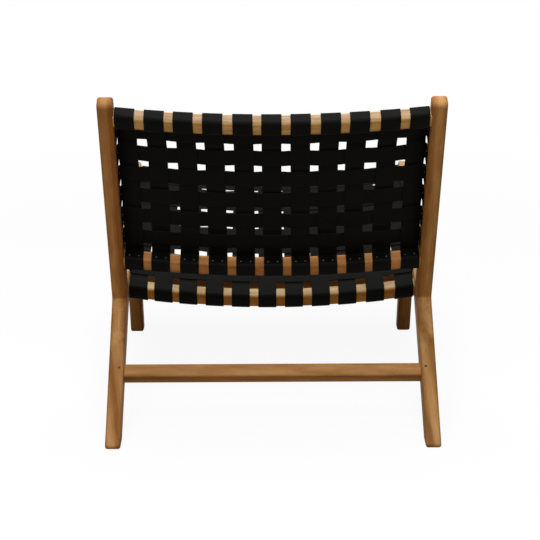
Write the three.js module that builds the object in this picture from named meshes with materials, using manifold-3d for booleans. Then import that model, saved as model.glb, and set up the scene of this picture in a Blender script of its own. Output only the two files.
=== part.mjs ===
// Armless lounge chair: a hardwood frame with a seat and a back of woven leather straps.
// Millimetres, +Z up, and the chair faces -Y. The origin is on the floor under its middle.
// Side-view places are given as (forward from the rear feet, height above the floor).
import * as THREE from 'three';
import { mergeVertices } from 'three/addons/utils/BufferGeometryUtils.js';
import Module from 'manifold-3d';

// Whole frame
const OVERALL_WIDTH = 650;
const BOARD_THICKNESS = 30;
const EDGE_ROUND = 5;
const EDGE_STEPS = 2;
const CORNER_STEPS = 2;
const JOINT_GAP = 0.3;
const JOINT_OVERLAP = 1;

// Bent rear board: back post and rear leg in one piece
const ELBOW_HEIGHT = 225;
const ELBOW_ROUND = 5;
const BACK_LEAN = 24;
const REAR_LEG_RAKE = 49;
const POST_LENGTH = 481;
const POST_TOP_DEPTH = 32;
const POST_TOP_ROUND = 10;
const REAR_FOOT_DEPTH = 36;
const REAR_HEEL_ROUND = 6;
const REAR_TOE_ROUND = 8;

// Seat plane and side rail
const SEAT_TILT = 18;
const SEAT_START_FORWARD = 55;
const SEAT_START_RISE = 9;
const SIDE_RAIL_DEPTH = 45;
const SIDE_RAIL_PROUD = 12;
const SIDE_RAIL_REACH = 484;
const SIDE_RAIL_END_ROUND = 18;
const SHOULDER_SETBACK = 5;
const CROTCH_ROUND = 14;
const KNEE_ROUND = 60;

// Front leg
const FRONT_FOOT_FORWARD = 699;
const FRONT_LEG_RAKE = 19;
const FRONT_FOOT_DEPTH = 34;
const FRONT_LEG_TOP_DEPTH = 46;
const FRONT_FOOT_ROUND = 7;
const LEG_OVERRUN = 40;

// Cross rails and stretchers
const RAIL_WIDTH = 29.5;
const RAIL_DEPTH = 29.5;
const RAIL_ROUND = 6;
const RAIL_STEPS = 12;
const BACK_RAIL_INSET = 1.5;
const LOWER_RAIL_AT = 79;
const TOP_RAIL_BELOW_END = 25.6;
const FRONT_RAIL_BEHIND_END = 8;
const BACK_BOW = 25;
const SEAT_BOW = 26;
const STRETCHER_WIDTH = 29;
const STRETCHER_DEPTH = 32;
const REAR_STRETCHER_AT = 170.5;
const REAR_STRETCHER_INSET = 10;
const FRONT_STRETCHER_AT = 109;
const FRONT_STRETCHER_INSET = 8;

// Joinery
const RAIL_TENON_LENGTH = 18;
const RAIL_TENON_WIDTH = 19;
const RAIL_TENON_DEPTH = 14;
const RAIL_TENON_ROUND = 2;
const BOARD_TENON_THICKNESS = 12;
const SIDE_TENON_LENGTH = 26;
const SIDE_TENON_HEIGHT = 24;
const LEG_TENON_LENGTH = 22;
const LEG_TENON_WIDTH = 26;
const PEG_RADIUS = 3;
const PEG_SIDES = 16;
const PEG_IN_TENON = 10;
const PEG_FROM_INNER_FACE = 9;

// Leather straps
const STRAP_THICKNESS = 2;
const STRAP_GAP = 0.3;
const LONG_STRAP_COUNT = 11;
const LONG_STRAP_WIDTH = 37.5;
const LONG_STRAP_EDGE_GAP = 3;
const CROSS_STRAP_WIDTH = 35.5;
// Gaps from one rail to the other with a cross strap between each two, in proportion
const BACK_CROSS_GAPS = [18.25, 18.4, 16, 15.6, 14.4, 16.75, 5];
const SEAT_CROSS_GAPS = [16.5, 17.5, 18.5, 22.5, 26, 11, 9, 7, 5];
const CROSSING_MARGIN = 1;
const CROSS_STRAP_SHARE = 0.25;
const HIDDEN_FLAP = 12;
const TACKED_FLAP = 20;
const POST_FLAP = 22;
const POST_FLAP_BEND = 1.5;
const SIDE_RAIL_FLAP = 22;
const STEEPEST_MITRE = 0.5;

// Finishes
const WOOD_COLOUR = 0xa8743f;
const PEG_COLOUR = 0x7c5027;
const LEATHER_COLOUR = 0x1a1a1b;

const MERGE_DISTANCE = 1e-4;

const wasm = await Module();
wasm.setup();

const rad = THREE.MathUtils.degToRad;
const halfWidth = OVERALL_WIDTH / 2;
const innerHalf = halfWidth - BOARD_THICKNESS;
const boardCentre = halfWidth - BOARD_THICKNESS / 2;
const halfStrap = STRAP_THICKNESS / 2;
const strapLift = STRAP_GAP + halfStrap;
// At a crossing the cross strap gives way by its share, and the long strap by the rest.
const crossLift = CROSS_STRAP_SHARE * (STRAP_THICKNESS + STRAP_GAP);
const longLift = STRAP_THICKNESS + STRAP_GAP - crossLift;

const chair = new THREE.Group();
chair.name = 'lounge_chair';
const wood = { color: WOOD_COLOUR, roughness: 0.55, metalness: 0 };
const pegWood = { color: PEG_COLOUR, roughness: 0.6, metalness: 0 };
const leather = { color: LEATHER_COLOUR, roughness: 0.45, metalness: 0 };

function addPiece(name, geometry, finish) {
  geometry.computeVertexNormals();
  const piece = new THREE.Mesh(geometry, new THREE.MeshStandardMaterial(finish));
  piece.name = name;
  chair.add(piece);
}

// Frames in the side view: a point is so far along the frame and so far out of its face

function sideFrame(forward, height, along, out) {
  return {
    at: (a, o) => new THREE.Vector2(
      forward + a * along.x + o * out.x,
      height + a * along.y + o * out.y,
    ),
  };
}

function unit(degreesFromForward) {
  return new THREE.Vector2(Math.cos(rad(degreesFromForward)), Math.sin(rad(degreesFromForward)));
}

const QUARTER = 90;
const elbowForward = ELBOW_HEIGHT * Math.tan(rad(REAR_LEG_RAKE));
// Along the back is up the post, and out of it is towards the sitter.
const back = sideFrame(elbowForward, ELBOW_HEIGHT, unit(QUARTER + BACK_LEAN), unit(BACK_LEAN));
// Along the seat is towards its front edge, and out of it is up.
const seat = sideFrame(
  elbowForward + SEAT_START_FORWARD,
  ELBOW_HEIGHT + SEAT_START_RISE,
  unit(SEAT_TILT),
  unit(QUARTER + SEAT_TILT),
);
// Along each leg is up from its foot, and out of it is forwards from its rear face.
const rearLeg = sideFrame(0, 0, unit(QUARTER - REAR_LEG_RAKE), unit(-REAR_LEG_RAKE));
const frontLeg = sideFrame(FRONT_FOOT_FORWARD, 0, unit(QUARTER + FRONT_LEG_RAKE), unit(FRONT_LEG_RAKE));

function toSpace(x, sidePoint) {
  return new THREE.Vector3(x, -sidePoint.x, sidePoint.y);
}

// Solids

function solidOf(geometry) {
  const bare = geometry.index ? geometry.toNonIndexed() : geometry.clone();
  bare.deleteAttribute('normal');
  bare.deleteAttribute('uv');
  const merged = mergeVertices(bare, MERGE_DISTANCE);
  return new wasm.Manifold(new wasm.Mesh({
    numProp: 3,
    vertProperties: new Float32Array(merged.attributes.position.array),
    triVerts: new Uint32Array(merged.index.array),
  }));
}

function geometryOf(solid) {
  const mesh = solid.getMesh();
  const geometry = new THREE.BufferGeometry();
  geometry.setAttribute('position', new THREE.BufferAttribute(mesh.vertProperties, 3));
  geometry.setIndex(new THREE.BufferAttribute(mesh.triVerts, 1));
  return geometry;
}

function signedVolume(points, triangles) {
  let volume = 0;
  for (let i = 0; i < triangles.length; i += 3) {
    const [a, b, c] = [points[triangles[i]], points[triangles[i + 1]], points[triangles[i + 2]]];
    volume += a.dot(b.clone().cross(c));
  }
  return volume;
}

// A closed body through rings of equally many points, with flat ends.
function loft(rings) {
  const count = rings[0].length;
  const points = rings.flat();
  const triangles = [];
  for (let ring = 0; ring + 1 < rings.length; ring += 1) {
    for (let k = 0; k < count; k += 1) {
      const next = (k + 1) % count;
      const [a, b] = [ring * count + k, ring * count + next];
      triangles.push(a, b, b + count, a, b + count, a + count);
    }
  }
  const last = (rings.length - 1) * count;
  for (let k = 1; k + 1 < count; k += 1) {
    triangles.push(0, k + 1, k);
    triangles.push(last, last + k, last + k + 1);
  }
  if (signedVolume(points, triangles) < 0) triangles.reverse();
  const geometry = new THREE.BufferGeometry().setFromPoints(points);
  geometry.setIndex(triangles);
  return geometry;
}

// A side-view outline with each corner rounded to its own radius.
function roundedShape(corners) {
  const shape = new THREE.Shape();
  corners.forEach(({ point, round }, i) => {
    const before = corners.at(i - 1).point.clone().sub(point).normalize();
    const after = corners[(i + 1) % corners.length].point.clone().sub(point).normalize();
    const halfAngle = Math.acos(THREE.MathUtils.clamp(before.dot(after), -1, 1)) / 2;
    const centre = before.clone().add(after).setLength(round / Math.sin(halfAngle)).add(point);
    const tangent = round / Math.tan(halfAngle);
    const start = before.clone().multiplyScalar(tangent).add(point).sub(centre);
    const end = after.clone().multiplyScalar(tangent).add(point).sub(centre);
    const clockwise = start.cross(end) < 0;
    shape.absarc(centre.x, centre.y, round, start.angle(), end.angle(), clockwise);
  });
  return shape;
}

const boardToSpace = new THREE.Matrix4().makeBasis(
  new THREE.Vector3(0, -1, 0),
  new THREE.Vector3(0, 0, 1),
  new THREE.Vector3(-1, 0, 0),
);

// A board cut to a side-view outline with all its edges rounded over.
function roundedBoard(shape, centreX) {
  const flat = BOARD_THICKNESS - 2 * EDGE_ROUND;
  const geometry = new THREE.ExtrudeGeometry(shape, {
    depth: flat,
    steps: 1,
    curveSegments: CORNER_STEPS,
    bevelEnabled: true,
    bevelThickness: EDGE_ROUND,
    bevelSize: EDGE_ROUND,
    bevelOffset: -EDGE_ROUND,
    bevelSegments: EDGE_STEPS,
  });
  geometry.translate(0, 0, -flat / 2).applyMatrix4(boardToSpace).translate(centreX, 0, 0);
  return solidOf(geometry);
}

// A block that spans two stretches of a side-view frame and a stretch across the chair.
function block(frame, [along0, along1], [out0, out1], [x0, x1]) {
  const corners = [
    frame.at(along0, out0),
    frame.at(along1, out0),
    frame.at(along1, out1),
    frame.at(along0, out1),
  ];
  const rings = [x0, x1].map((x) => corners.map((corner) => toSpace(x, corner)));
  return solidOf(loft(rings));
}

// Cross rails and stretchers

function roundedSection(width, depth, round) {
  const section = new THREE.Shape();
  const [w, d] = [width / 2 - round, depth / 2 - round];
  section.absarc(w, d, round, 0, Math.PI / 2);
  section.absarc(-w, d, round, Math.PI / 2, Math.PI);
  section.absarc(-w, -d, round, Math.PI, 1.5 * Math.PI);
  section.absarc(w, -d, round, 1.5 * Math.PI, 2 * Math.PI);
  return section.getPoints(1);
}

// How far a panel is dished at a place across the chair: a parabola that ends at the side boards.
function dish(bow, x) {
  return bow * Math.max(0, 1 - (x / innerHalf) ** 2);
}

const tenonSection = roundedSection(RAIL_TENON_WIDTH, RAIL_TENON_DEPTH, RAIL_TENON_ROUND);

// A rail whose near edge is at (along, out) on its frame, with a tenon at each end.
function crossRail({ frame, along, out, bow, width, depth }) {
  const railSection = roundedSection(width, depth, RAIL_ROUND);
  const ring = (section, x) => section.map((p) => toSpace(
    x,
    frame.at(along + width / 2 + p.x, out + depth / 2 + p.y - dish(bow, x)),
  ));
  const shoulder = innerHalf - JOINT_GAP;
  const tip = innerHalf + RAIL_TENON_LENGTH;
  const body = Array.from({ length: RAIL_STEPS + 1 }, (_, i) => {
    const x = -shoulder + (2 * shoulder * i) / RAIL_STEPS;
    return ring(railSection, x);
  });
  const leftEnd = [ring(tenonSection, -tip), ring(tenonSection, -shoulder)];
  const rightEnd = [ring(tenonSection, shoulder), ring(tenonSection, tip)];
  return solidOf(loft([...leftEnd, ...body, ...rightEnd]));
}

// The socket that a rail's tenon goes into, on one side of the chair.
function railSocket({ frame, along, out, width, depth }, side) {
  const alongMiddle = along + width / 2;
  const outMiddle = out + depth / 2;
  const halfAlong = RAIL_TENON_WIDTH / 2 + JOINT_GAP;
  const halfOut = RAIL_TENON_DEPTH / 2 + JOINT_GAP;
  const across = [side * (innerHalf - JOINT_GAP), side * (innerHalf + RAIL_TENON_LENGTH + JOINT_GAP)];
  return block(
    frame,
    [alongMiddle - halfAlong, alongMiddle + halfAlong],
    [outMiddle - halfOut, outMiddle + halfOut],
    across.sort((a, b) => a - b),
  );
}

const topRailAt = POST_LENGTH - TOP_RAIL_BELOW_END - RAIL_WIDTH;
const frontRailAt = SIDE_RAIL_REACH - FRONT_RAIL_BEHIND_END - RAIL_WIDTH;
const backRail = { frame: back, out: BACK_RAIL_INSET, bow: BACK_BOW, width: RAIL_WIDTH, depth: RAIL_DEPTH };
const seatRail = { frame: seat, out: -RAIL_DEPTH, bow: SEAT_BOW, width: RAIL_WIDTH, depth: RAIL_DEPTH };
const stretcher = { bow: 0, width: STRETCHER_WIDTH, depth: STRETCHER_DEPTH };
const railPlaces = {
  back_top_rail: { ...backRail, along: topRailAt },
  back_lower_rail: { ...backRail, along: LOWER_RAIL_AT },
  seat_rear_rail: { ...seatRail, along: 0 },
  seat_front_rail: { ...seatRail, along: frontRailAt },
  rear_stretcher: { ...stretcher, frame: rearLeg, along: REAR_STRETCHER_AT, out: REAR_STRETCHER_INSET },
  front_stretcher: { ...stretcher, frame: frontLeg, along: FRONT_STRETCHER_AT, out: FRONT_STRETCHER_INSET },
};

// Pegs that lock each stretcher's tenons, driven in from the rear face of its leg

function roundPin({ frame, along }, [out0, out1], x, radius) {
  const peg = new THREE.CylinderGeometry(radius, radius, out1 - out0, PEG_SIDES);
  const [start, end] = [out0, out1].map((out) => toSpace(x, frame.at(along, out)));
  const axis = end.clone().sub(start).normalize();
  peg.applyQuaternion(new THREE.Quaternion().setFromUnitVectors(new THREE.Vector3(0, 1, 0), axis));
  const middle = start.add(end).multiplyScalar(0.5);
  peg.translate(middle.x, middle.y, middle.z);
  return solidOf(peg);
}

const pegPlaces = ['rear_stretcher', 'front_stretcher'].map((rail) => {
  const { frame, along, out, width, depth } = railPlaces[rail];
  const tenonFace = out + (depth - RAIL_TENON_DEPTH) / 2;
  return { rail, frame, along: along + width / 2, length: tenonFace + PEG_IN_TENON };
});
const pegX = innerHalf + PEG_FROM_INNER_FACE;

// The hole starts clear of the leg's face, so that it opens through it.
function pegHole(peg, x) {
  return roundPin(peg, [-PEG_RADIUS, peg.length + JOINT_GAP], x, PEG_RADIUS + JOINT_GAP);
}

for (const [name, place] of Object.entries(railPlaces)) {
  let rail = crossRail(place);
  for (const peg of pegPlaces.filter((candidate) => candidate.rail === name)) {
    for (const x of [pegX, -pegX]) {
      rail = rail.subtract(pegHole(peg, x));
    }
  }
  addPiece(name, geometryOf(rail), wood);
}

// Side boards: the bent rear board and the side rail are sawn from one outline, parted at the shoulder

const railUnderside = SIDE_RAIL_PROUD - SIDE_RAIL_DEPTH;
const rearFootOnFloor = REAR_FOOT_DEPTH / Math.cos(rad(REAR_LEG_RAKE));
const sideShape = roundedShape([
  { point: new THREE.Vector2(0, 0), round: REAR_HEEL_ROUND },
  { point: new THREE.Vector2(rearFootOnFloor, 0), round: REAR_TOE_ROUND },
  { point: seat.at(-SHOULDER_SETBACK, railUnderside), round: KNEE_ROUND },
  { point: seat.at(SIDE_RAIL_REACH, railUnderside), round: SIDE_RAIL_END_ROUND },
  { point: seat.at(SIDE_RAIL_REACH, SIDE_RAIL_PROUD), round: SIDE_RAIL_END_ROUND },
  { point: seat.at(-SHOULDER_SETBACK, SIDE_RAIL_PROUD), round: CROTCH_ROUND },
  { point: back.at(POST_LENGTH, POST_TOP_DEPTH), round: POST_TOP_ROUND },
  { point: back.at(POST_LENGTH, 0), round: POST_TOP_ROUND },
  { point: back.at(0, 0), round: ELBOW_ROUND },
]);

const frontFootOnFloor = FRONT_FOOT_DEPTH / Math.cos(rad(FRONT_LEG_RAKE));
// Where the front leg's rear face meets the underside of the side rail.
const frontLegLength = (() => {
  const [start, up] = [frontLeg.at(0, 0), frontLeg.at(1, 0).sub(frontLeg.at(0, 0))];
  const normal = seat.at(0, 1).sub(seat.at(0, 0));
  return seat.at(0, railUnderside).sub(start).dot(normal) / up.dot(normal);
})();
const legTop = frontLeg.at(frontLegLength, FRONT_LEG_TOP_DEPTH / 2);
const legTopAlongSeat = legTop.clone().sub(seat.at(0, 0)).dot(unit(SEAT_TILT));
const frontLegShape = roundedShape([
  { point: new THREE.Vector2(FRONT_FOOT_FORWARD, 0), round: FRONT_FOOT_ROUND },
  { point: new THREE.Vector2(FRONT_FOOT_FORWARD + frontFootOnFloor, 0), round: FRONT_FOOT_ROUND },
  { point: frontLeg.at(frontLegLength + LEG_OVERRUN, FRONT_LEG_TOP_DEPTH), round: FRONT_FOOT_ROUND },
  { point: frontLeg.at(frontLegLength + LEG_OVERRUN, 0), round: FRONT_FOOT_ROUND },
]);

const boardSpan = (thickness, centre) => [centre - thickness / 2, centre + thickness / 2];

for (const [sideName, side] of [['left', 1], ['right', -1]]) {
  const centre = side * boardCentre;
  const sideBoard = roundedBoard(sideShape, centre);
  const wide = boardSpan(2 * BOARD_THICKNESS, centre);
  const sockets = (names) => names.map((name) => railSocket(railPlaces[name], side));
  const cut = (solid, tools) => tools.reduce((rest, tool) => rest.subtract(tool), solid);

  // The tenon runs back from the shoulder into the bent board.
  const shoulder = -SHOULDER_SETBACK;
  const railMiddle = SIDE_RAIL_PROUD - SIDE_RAIL_DEPTH / 2;
  const tenon = (clearance) => block(
    seat,
    [shoulder - SIDE_TENON_LENGTH - clearance, shoulder + JOINT_OVERLAP],
    [railMiddle - SIDE_TENON_HEIGHT / 2 - clearance, railMiddle + SIDE_TENON_HEIGHT / 2 + clearance],
    boardSpan(BOARD_TENON_THICKNESS + 2 * clearance, centre),
  );
  const beyond = [shoulder - JOINT_GAP, SIDE_RAIL_REACH + SIDE_RAIL_DEPTH];
  const aroundRail = [railUnderside - SIDE_RAIL_DEPTH, SIDE_RAIL_PROUD + SIDE_RAIL_DEPTH];
  const railZone = block(seat, [shoulder, beyond[1]], aroundRail, wide);
  const sawnOff = block(seat, beyond, aroundRail, wide);

  const [rearPegHole, frontPegHole] = pegPlaces.map((peg) => pegHole(peg, side * pegX));
  const rearBoard = cut(sideBoard.subtract(sawnOff), [
    tenon(JOINT_GAP),
    ...sockets(['back_top_rail', 'back_lower_rail', 'rear_stretcher']),
    rearPegHole,
  ]);
  addPiece(`rear_leg_and_post_${sideName}`, geometryOf(rearBoard), wood);

  // The front leg's tenon stands up into the underside of the side rail.
  const legTenon = (clearance) => block(
    seat,
    [legTopAlongSeat - LEG_TENON_WIDTH / 2 - clearance, legTopAlongSeat + LEG_TENON_WIDTH / 2 + clearance],
    [railUnderside - JOINT_GAP - JOINT_OVERLAP, railUnderside + LEG_TENON_LENGTH + clearance],
    boardSpan(BOARD_TENON_THICKNESS + 2 * clearance, centre),
  );
  const sideRail = cut(sideBoard.intersect(railZone).add(tenon(0)), [
    legTenon(JOINT_GAP),
    ...sockets(['seat_rear_rail', 'seat_front_rail']),
  ]);
  addPiece(`seat_side_rail_${sideName}`, geometryOf(sideRail), wood);

  const aboveLeg = block(
    seat,
    [0, SIDE_RAIL_REACH + SIDE_RAIL_DEPTH],
    [railUnderside - JOINT_GAP, SIDE_RAIL_PROUD + SIDE_RAIL_DEPTH],
    wide,
  );
  const leg = cut(roundedBoard(frontLegShape, centre).subtract(aboveLeg).add(legTenon(0)), [
    ...sockets(['front_stretcher']),
    frontPegHole,
  ]);
  addPiece(`front_leg_${sideName}`, geometryOf(leg), wood);

  for (const peg of pegPlaces) {
    const pin = roundPin(peg, [0, peg.length], side * pegX, PEG_RADIUS);
    addPiece(`${peg.rail}_peg_${sideName}`, geometryOf(pin), pegWood);
  }
}

// Leather straps: a path with the strap's thickness laid half on each side of it

function pathSides(path) {
  return path.map((point, i) => {
    const into = point.clone().sub(path[Math.max(i - 1, 0)]).normalize();
    const away = path[Math.min(i + 1, path.length - 1)].clone().sub(point).normalize();
    const ahead = into.clone().add(away).normalize();
    const stretch = halfStrap / Math.max(ahead.dot(i ? into : away), STEEPEST_MITRE);
    const normal = new THREE.Vector2(-ahead.y, ahead.x).multiplyScalar(stretch);
    return [point.clone().sub(normal), point.clone().add(normal)];
  });
}

function panelPoint(panel, x, along, out) {
  return toSpace(x, panel.frame.at(along, out - dish(panel.bow, x)));
}

// A strap that runs along the panel: its path is in (along, out).
function longStrap(panel, path, x) {
  const [low, high] = [x - LONG_STRAP_WIDTH / 2, x + LONG_STRAP_WIDTH / 2];
  return loft(pathSides(path).map(([inner, outer]) => [
    panelPoint(panel, low, inner.x, inner.y),
    panelPoint(panel, high, inner.x, inner.y),
    panelPoint(panel, high, outer.x, outer.y),
    panelPoint(panel, low, outer.x, outer.y),
  ]));
}

// A strap that runs across the chair: its path is in (x, out).
function crossStrap(panel, path, along) {
  const [low, high] = [along - CROSS_STRAP_WIDTH / 2, along + CROSS_STRAP_WIDTH / 2];
  return loft(pathSides(path).map(([inner, outer]) => [
    panelPoint(panel, inner.x, low, inner.y),
    panelPoint(panel, inner.x, high, inner.y),
    panelPoint(panel, outer.x, high, outer.y),
    panelPoint(panel, outer.x, low, outer.y),
  ]));
}

// Points on a round corner of a path, from one heading to the other in degrees.
function turn(centreX, centreY, radius, fromDegrees, toDegrees) {
  const middle = (fromDegrees + toDegrees) / 2;
  return [fromDegrees, middle, toDegrees].map((degrees) => new THREE.Vector2(
    centreX + radius * Math.cos(rad(degrees)),
    centreY + radius * Math.sin(rad(degrees)),
  ));
}

const bendRadius = RAIL_ROUND + strapLift;

// The path of a strap that lands on a rail at (along, out) and goes round so many of its corners,
// up to a last straight flap. Ahead is +1 where the strap runs towards the panel's far end.
function wrapRail(along, out, ahead, bends, flap) {
  const centre = [along + RAIL_WIDTH / 2, out + RAIL_DEPTH / 2];
  const [halfAlong, halfOut] = [RAIL_WIDTH / 2 - RAIL_ROUND, RAIL_DEPTH / 2 - RAIL_ROUND];
  const corners = [[1, 1, 90, 0], [1, -1, 0, -90], [-1, -1, -90, -180]].slice(0, bends);
  const points = corners.flatMap(([a, o, from, to]) => turn(
    a * halfAlong,
    o * halfOut,
    bendRadius,
    from,
    to,
  ));
  points.unshift(new THREE.Vector2(-RAIL_WIDTH / 2, halfOut + bendRadius));
  const last = points.at(-1);
  const heading = [[0, -1], [-1, 0], [0, 1]][bends - 1];
  points.push(new THREE.Vector2(last.x + flap * heading[0], last.y + flap * heading[1]));
  return points.map((p) => new THREE.Vector2(centre[0] + ahead * p.x, centre[1] + p.y));
}

function weaveAlong(centres, halfFlat, level, lift, phase) {
  return centres.flatMap((centre, i) => {
    const out = level + ((i + phase) % 2 === 0 ? lift : -lift);
    return [new THREE.Vector2(centre - halfFlat, out), new THREE.Vector2(centre + halfFlat, out)];
  });
}

function spread(first, last, count) {
  return Array.from({ length: count }, (_, i) => first + ((last - first) * i) / (count - 1));
}

// Middles of the cross straps between the near edges of two rails.
function crossRows(first, last, gaps) {
  const free = last - first - (gaps.length - 1) * CROSS_STRAP_WIDTH;
  const scale = free / gaps.reduce((sum, gap) => sum + gap, 0);
  let edge = first;
  return gaps.slice(0, -1).map((gap) => {
    const middle = edge + gap * scale + halfCross;
    edge = middle + halfCross;
    return middle;
  });
}

const halfCross = CROSS_STRAP_WIDTH / 2;
const outermost = innerHalf - LONG_STRAP_EDGE_GAP - LONG_STRAP_WIDTH / 2;
const columns = spread(-outermost, outermost, LONG_STRAP_COUNT);
const backRows = crossRows(LOWER_RAIL_AT + RAIL_WIDTH, topRailAt, BACK_CROSS_GAPS);
const seatRows = crossRows(RAIL_WIDTH, frontRailAt, SEAT_CROSS_GAPS);

const backPanel = { frame: back, bow: BACK_BOW, level: BACK_RAIL_INSET + RAIL_DEPTH + strapLift };
const seatPanel = { frame: seat, bow: SEAT_BOW, level: strapLift };
const rowFlat = halfCross + CROSSING_MARGIN;
const columnFlat = LONG_STRAP_WIDTH / 2 + CROSSING_MARGIN / 2;
const numbered = (i) => String(i + 1).padStart(2, '0');

columns.forEach((x, i) => {
  const backPath = [
    ...wrapRail(LOWER_RAIL_AT, BACK_RAIL_INSET, -1, 3, TACKED_FLAP).reverse(),
    ...weaveAlong(backRows, rowFlat, backPanel.level, longLift, i + 1),
    ...wrapRail(topRailAt, BACK_RAIL_INSET, 1, 3, HIDDEN_FLAP),
  ];
  addPiece(`back_long_strap_${numbered(i)}`, longStrap(backPanel, backPath, x), leather);
  const seatPath = [
    ...wrapRail(0, -RAIL_DEPTH, -1, 2, HIDDEN_FLAP).reverse(),
    ...weaveAlong(seatRows, rowFlat, seatPanel.level, longLift, i + 1),
    ...wrapRail(frontRailAt, -RAIL_DEPTH, 1, 2, HIDDEN_FLAP),
  ];
  addPiece(`seat_long_strap_${numbered(i)}`, longStrap(seatPanel, seatPath, x), leather);
});

// A cross strap is alike on both sides, so its right half is the left one mirrored.
function mirrored(half) {
  return half.map((p) => new THREE.Vector2(-p.x, p.y)).reverse();
}

const besideFace = innerHalf - STRAP_GAP - halfStrap;

// On the back each end turns rearwards and lies against the inner face of the post.
function backCrossPath(row) {
  const woven = weaveAlong(columns, columnFlat, backPanel.level, crossLift, row);
  woven.pop();
  woven.shift();
  const out = woven.at(-1).y;
  const flap = [
    new THREE.Vector2(besideFace - POST_FLAP_BEND, out),
    new THREE.Vector2(besideFace, out - POST_FLAP_BEND),
    new THREE.Vector2(besideFace, backPanel.level - POST_FLAP),
  ];
  return [...mirrored(flap), ...woven, ...flap];
}

// On the seat each end climbs the side rail, crosses its top and lies down its outer face.
function seatCrossPath(row) {
  const woven = weaveAlong(columns, columnFlat, seatPanel.level, crossLift, row);
  woven.pop();
  woven.shift();
  const out = woven.at(-1).y;
  const cornerOut = SIDE_RAIL_PROUD - EDGE_ROUND;
  const overEdge = EDGE_ROUND + strapLift;
  const flap = [
    new THREE.Vector2(besideFace - POST_FLAP_BEND, out),
    new THREE.Vector2(besideFace, out + POST_FLAP_BEND),
    ...turn(innerHalf + EDGE_ROUND, cornerOut, overEdge, 180, 90),
    ...turn(halfWidth - EDGE_ROUND, cornerOut, overEdge, 90, 0),
    new THREE.Vector2(halfWidth + strapLift, cornerOut - SIDE_RAIL_FLAP),
  ];
  return [...mirrored(flap), ...woven, ...flap];
}

backRows.forEach((along, row) => {
  const strap = crossStrap(backPanel, backCrossPath(row), along);
  addPiece(`back_cross_strap_${row + 1}`, strap, leather);
});
seatRows.forEach((along, row) => {
  const strap = crossStrap(seatPanel, seatCrossPath(row), along);
  addPiece(`seat_cross_strap_${row + 1}`, strap, leather);
});

// The origin is set on the floor under the middle of the finished chair.
const extent = new THREE.Box3().setFromObject(chair);
chair.position.y = -(extent.min.y + extent.max.y) / 2;

export default chair;
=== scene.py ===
"""Armless lounge chair: a hardwood frame with a seat and a back woven from leather straps.

Metres, +Z up, and the chair faces -Y. A side-view place is (forward from the rear feet, height).
"""
import logging
import math
from abc import ABC, abstractmethod
from dataclasses import dataclass
from enum import Enum

import bmesh
import bpy
import numpy as np
from mathutils import Matrix


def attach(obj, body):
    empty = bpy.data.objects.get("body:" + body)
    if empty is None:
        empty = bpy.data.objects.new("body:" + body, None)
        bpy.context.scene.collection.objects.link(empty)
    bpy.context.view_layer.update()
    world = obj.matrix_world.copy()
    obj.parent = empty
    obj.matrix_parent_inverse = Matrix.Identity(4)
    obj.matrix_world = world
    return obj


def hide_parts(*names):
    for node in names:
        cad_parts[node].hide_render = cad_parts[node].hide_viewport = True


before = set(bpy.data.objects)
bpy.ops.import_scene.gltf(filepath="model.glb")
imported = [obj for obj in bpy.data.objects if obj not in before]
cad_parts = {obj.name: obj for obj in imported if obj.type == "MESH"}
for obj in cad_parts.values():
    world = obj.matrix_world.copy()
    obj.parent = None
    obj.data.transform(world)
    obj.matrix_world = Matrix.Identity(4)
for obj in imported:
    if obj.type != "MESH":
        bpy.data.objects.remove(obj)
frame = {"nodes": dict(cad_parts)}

LOG = logging.getLogger("lounge_chair")
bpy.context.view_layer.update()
BODY = "root"
UV_MAP = "metres"
SHARP_DEGREES = 40.0
CUT_TOLERANCE = 1e-7
MOSTLY = 0.5
ACROSS = np.array([1.0, 0.0, 0.0])
REARWARDS = np.array([0.0, 1.0, 0.0])

Array = np.ndarray
Triple = tuple[float, float, float]
Socket = bpy.types.NodeSocket


class Side(Enum):
    """The sitter's left and right, as the sign of X."""

    LEFT = 1
    RIGHT = -1

    @property
    def word(self) -> str:
        """The side's name as the pieces and nodes have it."""
        return self.name.lower()


class Slot(Enum):
    """Names of the material slots."""

    FRAME = "frame_wood"
    PEG = "peg_wood"
    STRAP = "strap_leather"


# Side view and layout


def unit(degrees: float) -> Array:
    """Unit vector in the side view, at an angle from straight forward."""
    return np.array([math.cos(math.radians(degrees)), math.sin(math.radians(degrees))])


def in_space(degrees: float) -> Array:
    """A side-view direction as a direction in space."""
    forward, height = unit(degrees)
    return np.array([0.0, -forward, height])


def square_axes(directions: Array) -> Array:
    """Three axes at right angles for each direction, the third along it.

    The second is the direction crossed with X, or with Y where it runs mostly along X, and the
    first is the second crossed with the direction.

    Args:
        directions: Unit vectors, of shape (..., 3).

    Returns:
        The axes as rows, of shape (..., 3, 3).
    """
    mostly_across = np.abs(directions[..., :1]) > MOSTLY
    second = np.cross(directions, np.where(mostly_across, REARWARDS, ACROSS))
    second /= np.linalg.norm(second, axis=-1, keepdims=True)
    return np.stack([np.cross(second, directions), second, directions], axis=-2)


@dataclass(frozen=True)
class SideFrame:
    """A frame in the side view: so far along it and so far out of its face."""

    origin: tuple[float, float]
    along_degrees: float
    out_degrees: float

    def at(self, along: Array | float, out: Array | float) -> Array:
        """Side-view points: origin + along * along direction + out * out direction.

        Args:
            along: Distances along the frame.
            out: Distances out of its face, in a shape that goes with the first.

        Returns:
            Points (forward, height), one more axis than the distances have.
        """
        along_part = np.asarray(along)[..., None] * unit(self.along_degrees)
        out_part = np.asarray(out)[..., None] * unit(self.out_degrees)
        return np.array(self.origin) + along_part + out_part


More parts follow.
